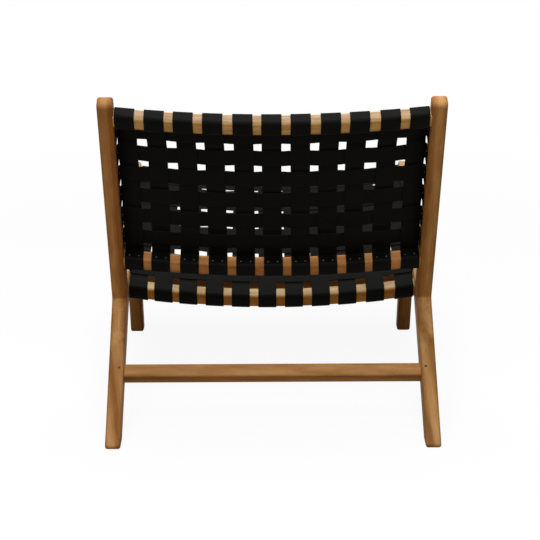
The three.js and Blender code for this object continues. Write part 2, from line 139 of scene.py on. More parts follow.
@dataclass(frozen=True)
class Layout:
    """Sizes that the frame and the straps share, in metres and degrees.

    A round is the radius of an edge, and a rail's place is that of its near edge along its frame. The
    cross straps give way at a crossing by cross_share of its thickness, and the long straps by the rest.
    """

    rear_feet_y: float = 0.397140
    overall_width: float = 0.650
    board_thickness: float = 0.030
    edge_round: float = 0.005
    elbow_height: float = 0.225
    back_lean: float = 24.0
    rear_leg_rake: float = 49.0
    seat_tilt: float = 18.0
    seat_start_forward: float = 0.055
    seat_start_rise: float = 0.009
    side_rail_proud: float = 0.012
    side_rail_depth: float = 0.045
    front_foot_forward: float = 0.699
    front_leg_rake: float = 19.0
    rail_width: float = 0.0295
    rail_depth: float = 0.0295
    rail_round: float = 0.006
    back_rail_inset: float = 0.0015
    lower_rail_at: float = 0.079
    top_rail_at: float = 0.4259
    front_rail_at: float = 0.4465
    back_bow: float = 0.025
    seat_bow: float = 0.026
    strap_thickness: float = 0.0020
    strap_gap: float = 0.0003
    cross_share: float = 0.25

    @property
    def half_width(self) -> float:
        """From the centre plane to the outer face of a side board."""
        return self.overall_width / 2

    @property
    def inner_half(self) -> float:
        """From the centre plane to the inner face of a side board."""
        return self.half_width - self.board_thickness

    @property
    def side_rail_under(self) -> float:
        """The underside of a side rail, out of the seat's frame."""
        return self.side_rail_proud - self.side_rail_depth

    @property
    def strap_lift(self) -> float:
        """From a wooden face to the middle of the strap that lies on it."""
        return self.strap_gap + self.strap_thickness / 2

    @property
    def strap_top(self) -> float:
        """From a wooden face to the far face of the strap that lies on it."""
        return self.strap_gap + self.strap_thickness

    @property
    def cross_lift(self) -> float:
        """How far a cross strap gives way at a crossing."""
        return self.cross_share * self.strap_top

    @property
    def long_lift(self) -> float:
        """How far a long strap gives way at a crossing."""
        return self.strap_top - self.cross_lift

    @property
    def elbow(self) -> tuple[float, float]:
        """The rear corner between the back post and the rear leg."""
        return self.elbow_height * math.tan(math.radians(self.rear_leg_rake)), self.elbow_height

    @property
    def back(self) -> SideFrame:
        """Up the back post, and out towards the sitter."""
        return SideFrame(self.elbow, 90 + self.back_lean, self.back_lean)

    @property
    def seat(self) -> SideFrame:
        """Towards the front of the seat, and up out of it."""
        forward, height = self.elbow
        start = (forward + self.seat_start_forward, height + self.seat_start_rise)
        return SideFrame(start, self.seat_tilt, 90 + self.seat_tilt)

    @property
    def rear_leg(self) -> SideFrame:
        """Up the rear leg from its heel, and out forwards."""
        return SideFrame((0.0, 0.0), 90 - self.rear_leg_rake, -self.rear_leg_rake)

    @property
    def front_leg(self) -> SideFrame:
        """Up the front leg from its heel, and out forwards."""
        return SideFrame((self.front_foot_forward, 0.0), 90 + self.front_leg_rake, self.front_leg_rake)

    def to_space(self, x: Array, side: Array) -> Array:
        """Points in space from a place across the chair and a side-view place.

        Args:
            x: Places across the chair.
            side: Side-view places, with one more axis than x.

        Returns:
            Points (x, rear_feet_y - forward, height).
        """
        wide = np.broadcast_to(x, side.shape[:-1])
        return np.stack([wide, self.rear_feet_y - side[..., 0], side[..., 1]], axis=-1)

    def dish(self, bow: float, x: Array) -> Array:
        """Depth of a dished panel: the bow times one less the square of x over the inner half width."""
        return bow * np.maximum(0.0, 1.0 - (x / self.inner_half) ** 2)


# Meshes


@dataclass
class Patch:
    """A mesh before Blender has it: points, blocks of faces, and a UV pair for each face corner."""

    points: Array
    faces: list[Array]
    corner_uv: list[Array]

    def volume(self) -> float:
        """Signed volume: a sixth of the sum of a . (b x c) over the faces' triangle fans.

        Returns:
            The volume, which is negative where the faces point inwards.
        """
        total = 0.0
        for block in self.faces:
            a = self.points[block[:, :1]]
            b = self.points[block[:, 1:-1]]
            c = self.points[block[:, 2:]]
            total += float((a * np.cross(b, c)).sum()) / 6
        return total

    def outward(self) -> "Patch":
        """Turns the faces outwards.

        Returns:
            This patch where they point outwards already, and otherwise a patch with each face reversed.
        """
        if self.volume() >= 0:
            return self
        faces = [block[:, ::-1] for block in self.faces]
        corner_uv = [block[:, ::-1] for block in self.corner_uv]
        return Patch(self.points, faces, corner_uv)


def distances(path: Array) -> Array:
    """Distance of each point of a path from its first point, along the path."""
    return np.concatenate([[0.0], np.cumsum(np.linalg.norm(np.diff(path, axis=0), axis=1))])


def closed(outline: Array) -> Array:
    """An outline with its first point again at the end."""
    return np.concatenate([outline, outline[:1]])


def sweep(rings: Array, along: Array, around: Array) -> Patch:
    """A closed solid through rings of points, with a flat face at each end.

    Face (i, j) joins place j and the next place of ring i to the same two of the next ring.

    Args:
        rings: Points, of shape (rings, places round a ring, 3).
        along: Distance of each ring along the piece, for the UV map.
        around: UV distance of each place round the ring, with the first place again at the end.

    Returns:
        The patch, with its faces outwards.
    """
    count, places = rings.shape[:2]
    row, column = np.meshgrid(np.arange(count - 1), np.arange(places), indexing="ij")
    row, column = row.ravel(), column.ravel()
    corner_row = np.stack([row, row, row + 1, row + 1], axis=1)
    corner_column = np.stack([column, column + 1, column + 1, column], axis=1)
    quads = corner_row * places + corner_column % places
    quad_uv = np.stack([around[corner_column], along[corner_row]], axis=-1)
    round_ring = np.arange(places)
    ends = np.stack([round_ring[::-1], (count - 1) * places + round_ring])
    end_across = np.stack([around[:-1][::-1], around[:-1]])
    end_along = np.repeat([[along[0]], [along[-1]]], places, axis=1)
    end_uv = np.stack([end_across, end_along], axis=-1)
    return Patch(rings.reshape(-1, 3), [quads, ends], [quad_uv, end_uv]).outward()


def turned(radius: Array, depth: Array, sides: int) -> Patch:
    """A solid turned about its own third axis: ring i is radius i times (cos t, sin t) at depth i.

    Args:
        radius: The profile's radii.
        depth: The profile's places along the axis.
        sides: Places round each ring.

    Returns:
        The solid's patch.
    """
    angle = np.linspace(0, 2 * math.pi, sides, endpoint=False)
    ring = np.stack([np.cos(angle), np.sin(angle)], axis=1)
    flat = radius[:, None, None] * ring[None]
    deep = np.repeat(depth[:, None, None], sides, axis=1)
    around = np.linspace(0, 2 * math.pi * radius.max(), sides + 1)
    return sweep(np.concatenate([flat, deep], axis=2), depth, around)


def repeated(patch: Patch, places: Array, axes: Array) -> Patch:
    """Copies of one patch: each point p goes to place + p in that place's own axes.

    Args:
        patch: The patch to repeat.
        places: Where the copies go, of shape (copies, 3).
        axes: Each copy's axes as rows, of shape (copies, 3, 3).

    Returns:
        One patch with all the copies.
    """
    count = len(patch.points)
    points = places[:, None, :] + np.einsum("pk,ckj->cpj", patch.points, axes)
    shift = (np.arange(len(places)) * count)[:, None, None]
    faces = [(block[None] + shift).reshape(-1, block.shape[1]) for block in patch.faces]
    corner_uv = [np.tile(block, (len(places), 1, 1)) for block in patch.corner_uv]
    return Patch(points.reshape(-1, 3), faces, corner_uv)


def add_piece(
    name: str,
    patch: Patch,
    material: bpy.types.Material,
    stands_for: tuple[str, ...] = (),
) -> bpy.types.Object:
    """Puts a patch into the scene as a smooth piece that rides on the chair.

    Args:
        name: The piece's name.
        patch: Its mesh.
        material: Its finish.
        stands_for: The CAD nodes that it replaces.

    Returns:
        The new object.
    """
    mesh = bpy.data.meshes.new(name)
    faces = [face for block in patch.faces for face in block.tolist()]
    mesh.from_pydata(patch.points.tolist(), [], faces)
    flat_uv = np.concatenate([block.reshape(-1, 2) for block in patch.corner_uv])
    uv_map = mesh.uv_layers.new(name=UV_MAP)
    uv_map.data.foreach_set("uv", flat_uv.astype(np.float32).ravel())
    mesh.materials.append(material)
    piece = bpy.data.objects.new(name, mesh)
    bpy.context.scene.collection.objects.link(piece)
    smooth(piece)
    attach(piece, BODY)
    if stands_for:
        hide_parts(*stands_for)
    LOG.info("%s: %d points", name, len(mesh.vertices))
    return piece


def smooth(piece: bpy.types.Object) -> None:
    """Shades a piece smooth, with edges sharper than SHARP_DEGREES left crisp.

    Args:
        piece: The piece to shade.
    """
    mesh = piece.data
    mesh.polygons.foreach_set("use_smooth", np.ones(len(mesh.polygons), dtype=bool))
    mesh.set_sharp_from_angle(angle=math.radians(SHARP_DEGREES))


def cut_off(piece: bpy.types.Object, point: Array, normal: Array) -> None:
    """Saws a piece along a plane, drops what lies on the normal's side and closes the cut.

    Args:
        piece: The piece to saw.
        point: A point on the plane.
        normal: The plane's normal.
    """
    work = bmesh.new()
    work.from_mesh(piece.data)
    everything = work.verts[:] + work.edges[:] + work.faces[:]
    sawn = bmesh.ops.bisect_plane(
        work,
        geom=everything,
        dist=CUT_TOLERANCE,
        plane_co=point.tolist(),
        plane_no=normal.tolist(),
        clear_outer=True,
    )
    rim = [part for part in sawn["geom_cut"] if isinstance(part, bmesh.types.BMEdge)]
    bmesh.ops.edgeloop_fill(work, edges=rim)
    bmesh.ops.recalc_face_normals(work, faces=work.faces[:])
    work.to_mesh(piece.data)
    work.free()


# Finishes


class MixKind(Enum):
    """What a Mix node mixes: its data type, its three inputs' numbers and its output's number."""

    COLOUR = ("RGBA", (0, 6, 7), 2)
    VECTOR = ("VECTOR", (0, 4, 5), 1)


class Graph:
    """The nodes of a material or of the world, with short ways to add and link them."""

    def __init__(self, owner: bpy.types.Material | bpy.types.World) -> None:
        """Empties the owner's node tree and gives it an output.

        Args:
            owner: The material or the world.
        """
        owner.use_nodes = True
        self.tree = owner.node_tree
        self.tree.nodes.clear()
        kind = "World" if isinstance(owner, bpy.types.World) else "Material"
        self.output = self.tree.nodes.new(f"ShaderNodeOutput{kind}")

    def add(self, kind: str, settings: dict[str, object] | None = None, **values: object) -> bpy.types.Node:
        """Adds a node.

        Args:
            kind: The node's type.
            settings: Its own properties.
            values: Its inputs by name with spaces as underscores, as numbers or as sockets to link.

        Returns:
            The new node.
        """
        node = self.tree.nodes.new(kind)
        for key, value in (settings or {}).items():
            setattr(node, key, value)
        for key, value in values.items():
            self.put(node.inputs[key.replace("_", " ")], value)
        return node

    def put(self, socket: Socket, value: object) -> None:
        """Links a socket into an input, or sets a plain value on it.

        Args:
            socket: The input.
            value: The socket to link or the value to set.
        """
        if isinstance(value, Socket):
            self.tree.links.new(value, socket)
        else:
            socket.default_value = value

    def fill(self, node: bpy.types.Node, *values: object) -> bpy.types.Node:
        """Puts values into a node's first inputs, in their order.

        Args:
            node: The node.
            values: Plain values or sockets to link.

        Returns:
            The same node.
        """
        for socket, value in zip(node.inputs, values):
            self.put(socket, value)
        return node

    def mixed(self, kind: MixKind, settings: dict[str, object], *values: object) -> Socket:
        """Adds a Mix node.

        Args:
            kind: What it mixes.
            settings: Its other properties.
            values: The factor, the first value and the second.

        Returns:
            The result's socket.
        """
        data_type, inputs, output = kind.value
        node = self.add("ShaderNodeMix", {"data_type": data_type, **settings})
        for index, value in zip(inputs, values):
            self.put(node.inputs[index], value)
        return node.outputs[output]

    def mix(self, blend: str, factor: object, first: object, second: object) -> Socket:
        """Mixes two colours and returns the result's socket."""
        settings = {"blend_type": blend, "clamp_factor": True}
        return self.mixed(MixKind.COLOUR, settings, factor, first, second)

    def between(self, share: object, first: object, second: object) -> Socket:
        """Goes from one vector to another by a share and returns the result's socket."""
        return self.mixed(MixKind.VECTOR, {}, share, first, second)

    def mix_shaders(self, factor: Socket, first: Socket, second: Socket) -> Socket:
        """Mixes two shaders and returns the result's socket."""
        return self.fill(self.add("ShaderNodeMixShader"), factor, first, second).outputs["Shader"]

    def arithmetic(self, operation: str, *values: object) -> Socket:
        """Works out one operation on numbers and returns the result's socket."""
        return self.fill(self.add("ShaderNodeMath", {"operation": operation}), *values).outputs[0]

    def scaled(self, place: Socket, scale: Triple) -> Socket:
        """Scales a place along its three axes and returns the result's socket."""
        return self.add("ShaderNodeMapping", Vector=place, Scale=scale).outputs["Vector"]

    def spread(self, value: Socket, low: float, high: float) -> Socket:
        """Carries a value between 0 and 1 to a range and returns the result's socket."""
        return self.add("ShaderNodeMapRange", Value=value, To_Min=low, To_Max=high).outputs["Result"]

    def eased(self, value: Socket, start: float, end: float, first: float, last: float) -> Socket:
        """Goes gently from one number to another while a value goes from its start to its end.

        Args:
            value: The value.
            start: Where the change starts.
            end: Where it ends.
            first: The number up to the start.
            last: The number from the end.

        Returns:
            The number's socket.
        """
        return self.add(
            "ShaderNodeMapRange",
            {"interpolation_type": "SMOOTHSTEP"},
            Value=value,
            From_Min=start,
            From_Max=end,
            To_Min=first,
            To_Max=last,
        ).outputs["Result"]

    def ramp(self, value: Socket, stops: list[tuple[float, Triple]]) -> Socket:
        """Colours a value.

        Args:
            value: The value, between 0 and 1.
            stops: Places and the colours there.

        Returns:
            The colour's socket.
        """
        node = self.add("ShaderNodeValToRGB", Fac=value)
        elements = node.color_ramp.elements
        while len(elements) < len(stops):
            elements.new(1.0)
        for element, (place, colour) in zip(elements, stops):
            element.position = place
            element.color = opaque(colour)
        return node.outputs["Color"]

    def finish(self, shader: Socket) -> None:
        """Links the shader to the output."""
        self.put(self.output.inputs["Surface"], shader)


def opaque(colour: Triple) -> tuple[float, float, float, float]:
    """A colour with full alpha."""
    return (*colour, 1.0)


@dataclass(frozen=True)
class Grain:
    """The run of a board's grain: its direction, and the move that brings the pith line to the X axis."""

    direction: Array
    pith: Triple

    def turn(self) -> Triple:
        """Euler angles that turn the grain's direction on to X."""
        second, third, first = square_axes(self.direction / np.linalg.norm(self.direction))
        return tuple(Matrix([first, second, third]).to_euler("XYZ"))

    def place(self, graph: Graph, point: Socket) -> Socket:
        """A point's place in the board, with X along the grain."""
        node = graph.add("ShaderNodeMapping", Vector=point, Location=self.pith, Rotation=self.turn())
        return node.outputs["Vector"]


@dataclass(frozen=True)
class Bend:
    """A second run of grain, which a bent board takes up between two heights and keeps below them."""

    grain: Grain
    low: float = 0.150
    high: float = 0.215

    def place(self, graph: Graph, point: Socket, above: Socket) -> Socket:
        """A point's place in the bent board.

        Args:
            graph: The material's nodes.
            point: The point in the chair's frame.
            above: Its place in the board above the bend.

        Returns:
            Its place in the whole board.
        """
        height = graph.add("ShaderNodeSeparateXYZ", Vector=point).outputs["Z"]
        share = graph.eased(height, self.low, self.high, 0.0, 1.0)
        return graph.between(share, self.grain.place(graph, point), above)


@dataclass(frozen=True)
class PaintedSheenFace:
    """A face of a rail in a tint of its own, a painted sheen for the light that the upper face catches: its
    middle and its half width, measured round the section.
    """

    middle: float
    half: float
    tint: Triple
    soft: float = 0.0012

    def over(self, graph: Graph, colour: Socket) -> Socket:
        """The wood's colour, with the painted sheen multiplied in where the distance from the face's middle
        is under its half width.

        Args:
            graph: The material's nodes.
            colour: The wood's colour away from the painted sheen.

        Returns:
            The colour of the whole rail.
        """
        section = graph.add("ShaderNodeUVMap", {"uv_map": UV_MAP}).outputs["UV"]
        round_section = graph.add("ShaderNodeSeparateXYZ", Vector=section).outputs["X"]
        from_middle = graph.arithmetic("ABSOLUTE", graph.arithmetic("SUBTRACT", round_section, self.middle))
        share = graph.eased(from_middle, self.half - self.soft, self.half + self.soft, 1.0, 0.0)
        return graph.mix("MULTIPLY", share, colour, opaque(self.tint))


class Tone(Enum):
    """Wood colours: the dark, the middle and the light of the growth bands."""

    BROWN = ((0.280, 0.122, 0.034), (0.378, 0.184, 0.060), (0.462, 0.248, 0.094))
    OLIVE = ((0.310, 0.150, 0.043), (0.392, 0.201, 0.067), (0.470, 0.262, 0.101))
    # Darker tone for the front legs and the front stretcher: painted shade, standing in for the seat's
    # shadow over them.
    DEEP_PAINTED_SHADE = ((0.230, 0.100, 0.027), (0.310, 0.146, 0.043), (0.380, 0.190, 0.062))
    HONEY = ((0.480, 0.252, 0.096), (0.550, 0.300, 0.118), (0.610, 0.342, 0.140))
    TAN = ((0.430, 0.265, 0.116), (0.500, 0.315, 0.142), (0.560, 0.360, 0.167))
    PALE = ((0.610, 0.395, 0.160), (0.690, 0.455, 0.192), (0.750, 0.505, 0.222))
    RUSSET = ((0.520, 0.235, 0.058), (0.600, 0.280, 0.073), (0.660, 0.322, 0.088))
    WARM = ((0.430, 0.205, 0.070), (0.510, 0.250, 0.090), (0.570, 0.292, 0.112))
    END_GRAIN = ((0.100, 0.044, 0.014), (0.150, 0.068, 0.023), (0.195, 0.094, 0.034))


@dataclass(frozen=True)
class Rings:
    """Growth rings about the pith line: how close they lie and how uneven they are."""

    scale: float
    distortion: float
    detail_scale: float
    detail: float = 2.0
    detail_roughness: float = 0.55
    drawn_out: Triple = (0.16, 1.0, 1.0)

    def pattern(self, graph: Graph, board: Socket) -> Socket:
        """A sine wave of the distance from the pith line, made uneven and drawn out along the grain.

        Args:
            graph: The material's nodes.
            board: A point's place in the board.

        Returns:
            The wave there, between 0 and 1.
        """
        return graph.add(
            "ShaderNodeTexWave",
            {"wave_type": "RINGS", "rings_direction": "X", "wave_profile": "SIN"},
            Vector=graph.scaled(board, self.drawn_out),
            Scale=self.scale,
            Distortion=self.distortion,
            Detail=self.detail,
            Detail_Scale=self.detail_scale,
            Detail_Roughness=self.detail_roughness,
        ).outputs["Fac"]


@dataclass(frozen=True)
class Fibres:
    """Noise drawn out along the grain: its repeats in a metre along and across it, and its detail."""

    along: float
    across: float
    detail: float
    roughness: float = 0.6

    def pattern(self, graph: Graph, board: Socket) -> Socket:
        """The noise at a place in the board.

        Args:
            graph: The material's nodes.
            board: A point's place in the board.

        Returns:
            The noise there, between 0 and 1.
        """
        return graph.add(
            "ShaderNodeTexNoise",
            Vector=graph.scaled(board, (self.along, self.across, self.across)),
            Scale=1.0,
            Detail=self.detail,
            Roughness=self.roughness,
        ).outputs["Fac"]


@dataclass(frozen=True)
class Tint:
    """How a pattern colours the wood: a shade up to its low place and a gleam from its high one."""

    strength: float
    low: float
    high: float
    shade: Triple
    gleam: Triple

    def over(self, graph: Graph, pattern: Socket, colour: Socket) -> Socket:
        """The colour multiplied by the pattern's own colours."""
        layer = graph.ramp(pattern, [(self.low, self.shade), (self.high, self.gleam)])
        return graph.mix("MULTIPLY", self.strength, colour, layer)


@dataclass(frozen=True)
class OiledHardwood:
    """Warm brown hardwood with broad growth bands, faint growth lines, fibre streaks and pores.

    The bands and the lines are cylinders about a pith line beside the board, so a sawn face cuts
    them into straight stripes or into arches.
    """

    name: str
    grain: Grain
    tone: Tone
    bend: Bend | None = None
    painted_sheen: PaintedSheenFace | None = None
    bands: Rings = Rings(9.0, 1.6, 1.1)
    band_stops: Triple = (0.05, 0.45, 0.95)
    lines: Rings = Rings(66.0, 5.0, 0.6)
    line_tint: Tint = Tint(0.22, 0.02, 0.55, (0.74, 0.68, 0.62), (1.03, 1.03, 1.02))
    broad: Fibres = Fibres(4.0, 30.0, 2.0)
    broad_tint: Tint = Tint(0.90, 0.34, 0.66, (0.80, 0.74, 0.66), (1.14, 1.13, 1.11))
    mottle: Fibres = Fibres(16.0, 75.0, 3.0)
    mottle_tint: Tint = Tint(0.90, 0.36, 0.62, (0.84, 0.79, 0.72), (1.08, 1.09, 1.10))
    streaks: Fibres = Fibres(7.0, 210.0, 4.0)
    streak_tint: Tint = Tint(0.60, 0.34, 0.58, (0.78, 0.73, 0.68), (1.04, 1.03, 1.02))
    pores: Fibres = Fibres(90.0, 1500.0, 2.0)
    pore_tint: Tint = Tint(0.40, 0.30, 0.42, (0.60, 0.54, 0.48), (1.0, 1.0, 1.0))
    pore_share: float = 0.5
    relief: float = 0.30
    relief_depth: float = 0.0003
    roughness: tuple[float, float] = (0.48, 0.64)
    specular: float = 0.07

    def material(self) -> bpy.types.Material:
        """Builds the node material: the bands' colour times each of the other patterns' colours.

        Returns:
            The board's material.
        """
        material = bpy.data.materials.new(self.name)
        graph = Graph(material)
        point = graph.add("ShaderNodeTexCoord").outputs["Object"]
        board = self.grain.place(graph, point)
        if self.bend is not None:
            board = self.bend.place(graph, point, board)
        streaks = self.streaks.pattern(graph, board)
        pores = self.pores.pattern(graph, board)
        colour = graph.ramp(self.bands.pattern(graph, board), list(zip(self.band_stops, self.tone.value)))
        layers = (
            (self.line_tint, self.lines.pattern(graph, board)),
            (self.broad_tint, self.broad.pattern(graph, board)),
            (self.mottle_tint, self.mottle.pattern(graph, board)),
            (self.streak_tint, streaks),
            (self.pore_tint, pores),
        )
        for tint, pattern in layers:
            colour = tint.over(graph, pattern, colour)
        # Painted sheen: some rails get a paler, greyer upper face, which stands in for the light it catches.
        if self.painted_sheen is not None:
            colour = self.painted_sheen.over(graph, colour)
        bump = graph.add(
            "ShaderNodeBump",
            Strength=self.relief,
            Distance=self.relief_depth,
            Height=graph.mix("MULTIPLY", self.pore_share, streaks, pores),
        )
        smoothest, roughest = self.roughness
        shader = graph.add(
            "ShaderNodeBsdfPrincipled",
            Base_Color=colour,
            Roughness=graph.spread(streaks, roughest, smoothest),
            Specular_IOR_Level=self.specular,
            Normal=bump.outputs["Normal"],
        )
        graph.finish(shader.outputs["BSDF"])
        return material


@dataclass(frozen=True)
class DyedLeather:
    """Black dyed strap leather: pebbled grain, faint cross creases, and lighter edges that are partly
    burnished wear and partly painted sheen.

    The UV map is in metres: across the strap from its middle, and along it.
    """

    name: str
    width: float
    dark: Triple = (0.0015, 0.0015, 0.0009)
    light: Triple = (0.0032, 0.0032, 0.0023)
    patch_scale: float = 34.0
    patch_detail: float = 3.0
    # Colour of the strap edges: burnished wear with a painted sheen.
    edge: Triple = (0.0060, 0.0056, 0.0048)
    edge_band: float = 0.0016
    pebble_scale: float = 780.0
    pebble_softness: float = 0.6
    pebble_relief: float = 0.35
    pebble_depth: float = 0.0003
    crease_scale: Triple = (35.0, 420.0, 1.0)
    crease_detail: float = 4.0
    crease_roughness: float = 0.55
    crease_relief: float = 0.30
    crease_depth: float = 0.0005
    roughness: tuple[float, float] = (0.46, 0.64)
    specular: float = 0.038

    def colour(self, graph: Graph, strap: Socket, point: Socket) -> Socket:
        """The dye, in soft patches, and the lighter edges: partly burnished wear, partly painted sheen.

        Args:
            graph: The material's nodes.
            strap: The place on the strap.
            point: The point in the chair's frame.

        Returns:
            The colour's socket.
        """
        patches = graph.add(
            "ShaderNodeTexNoise",
            Vector=point,
            Scale=self.patch_scale,
            Detail=self.patch_detail,
        ).outputs["Fac"]
        dye = graph.mix("MIX", patches, opaque(self.dark), opaque(self.light))
        across = graph.add("ShaderNodeSeparateXYZ", Vector=strap).outputs["X"]
        # Lighter band along the strap edges: partly burnished wear, partly painted sheen.
        near_edge = graph.add(
            "ShaderNodeMapRange",
            Value=graph.arithmetic("ABSOLUTE", across),
            From_Min=self.width / 2 - self.edge_band,
            From_Max=self.width / 2,
        ).outputs["Result"]
        return graph.mix("MIX", near_edge, dye, opaque(self.edge))

    def material(self) -> bpy.types.Material:
        """Builds the node material.

        Returns:
            The straps' material.
        """
        material = bpy.data.materials.new(self.name)
        graph = Graph(material)
        strap = graph.add("ShaderNodeUVMap", {"uv_map": UV_MAP}).outputs["UV"]
        point = graph.add("ShaderNodeTexCoord").outputs["Object"]
        creases = graph.add(
            "ShaderNodeTexNoise",
            Vector=graph.scaled(strap, self.crease_scale),
            Scale=1.0,
            Detail=self.crease_detail,
            Roughness=self.crease_roughness,
        ).outputs["Fac"]
        creased = graph.add(
            "ShaderNodeBump",
            Strength=self.crease_relief,
            Distance=self.crease_depth,
            Height=creases,
        )
        pebbles = graph.add(
            "ShaderNodeTexVoronoi",
            {"feature": "SMOOTH_F1"},
            Vector=point,
            Scale=self.pebble_scale,
            Smoothness=self.pebble_softness,
        )
        pebbled = graph.add(
            "ShaderNodeBump",
            Strength=self.pebble_relief,
            Distance=self.pebble_depth,
            Height=pebbles.outputs["Distance"],
            Normal=creased.outputs["Normal"],
        )
        smoothest, roughest = self.roughness
        shader = graph.add(
            "ShaderNodeBsdfPrincipled",
            Base_Color=self.colour(graph, strap, point),
            Roughness=graph.spread(creases, smoothest, roughest),
            Specular_IOR_Level=self.specular,
            Normal=pebbled.outputs["Normal"],
        )
        graph.finish(shader.outputs["BSDF"])
        return material


@dataclass(frozen=True)
class TackMetal:
    """Small tack heads in dark old steel."""

    name: str = "tack_metal"
    clean: Triple = (0.17, 0.155, 0.13)
    tarnished: Triple = (0.04, 0.035, 0.03)
    tarnish_scale: float = 320.0
    tarnish_detail: float = 3.0
    roughness: tuple[float, float] = (0.30, 0.55)

    def material(self) -> bpy.types.Material:
        """Builds the node material.

        Returns:
            The tacks' material.
        """
        material = bpy.data.materials.new(self.name)
        graph = Graph(material)
        tarnish = graph.add(
            "ShaderNodeTexNoise",
            Vector=graph.add("ShaderNodeTexCoord").outputs["Object"],
            Scale=self.tarnish_scale,
            Detail=self.tarnish_detail,
        ).outputs["Fac"]
        smoothest, roughest = self.roughness
        shader = graph.add(
            "ShaderNodeBsdfPrincipled",
            Base_Color=graph.mix("MIX", tarnish, opaque(self.clean), opaque(self.tarnished)),
            Metallic=1.0,
            Roughness=graph.spread(tarnish, smoothest, roughest),
        )
        graph.finish(shader.outputs["BSDF"])
        return material


# Hardwood frame


def rounded_outline(corners: Array, radii: Array, steps: int) -> Array:
    """An outline with each corner replaced by an arc of its own radius.

    The arc's centre lies on the corner's bisector, radius / sin(half the corner's angle) away.

    Args:
        corners: Side-view corners in order.
        radii: One radius for each corner.
        steps: Points on each arc.

    Returns:
        The outline's points in order.
    """
    before = np.roll(corners, 1, axis=0) - corners
    after = np.roll(corners, -1, axis=0) - corners
    before /= np.linalg.norm(before, axis=1, keepdims=True)
    after /= np.linalg.norm(after, axis=1, keepdims=True)
    half = np.arccos(np.clip((before * after).sum(axis=1), -1, 1)) / 2
    bisector = before + after
    bisector /= np.linalg.norm(bisector, axis=1, keepdims=True)
    centres = corners + bisector * (radii / np.sin(half))[:, None]
    tangent = (radii / np.tan(half))[:, None]
    start = corners + before * tangent - centres
    end = corners + after * tangent - centres
    turn = start[:, 0] * end[:, 1] - start[:, 1] * end[:, 0]
    swept = np.arctan2(turn, (start * end).sum(axis=1))
    first = np.arctan2(start[:, 1], start[:, 0])
    angles = first[:, None] + swept[:, None] * np.linspace(0, 1, steps)
    arcs = centres[:, None] + radii[:, None, None] * np.stack([np.cos(angles), np.sin(angles)], axis=-1)
    return arcs.reshape(-1, 2)


def rounded_section(width: float, depth: float, radius: float, steps: int) -> Array:
    """A rectangle with round corners, as points (along, out) about its middle."""
    corners = np.array([(1, 1), (-1, 1), (-1, -1), (1, -1)]) * np.array([width, depth]) / 2
    return rounded_outline(corners, np.full(len(corners), radius), steps)


def inward(outline: Array) -> Array:
    """The move of each outline point that brings both its edges in by one unit.

    It is the sum of the two edges' inward normals over one plus their dot product. The sign of the
    outline's area tells which way is inward.

    Args:
        outline: The outline's points in order.

    Returns:
        One move for each point.
    """
    edges = np.roll(outline, -1, axis=0) - outline
    normals = np.stack([-edges[:, 1], edges[:, 0]], axis=1)
    normals /= np.linalg.norm(normals, axis=1, keepdims=True)
    area = (outline[:, 0] * np.roll(outline[:, 1], -1) - outline[:, 1] * np.roll(outline[:, 0], -1)).sum()
    normals *= math.copysign(1.0, area)
    earlier = np.roll(normals, 1, axis=0)
    return (normals + earlier) / (1 + (normals * earlier).sum(axis=1))[:, None]


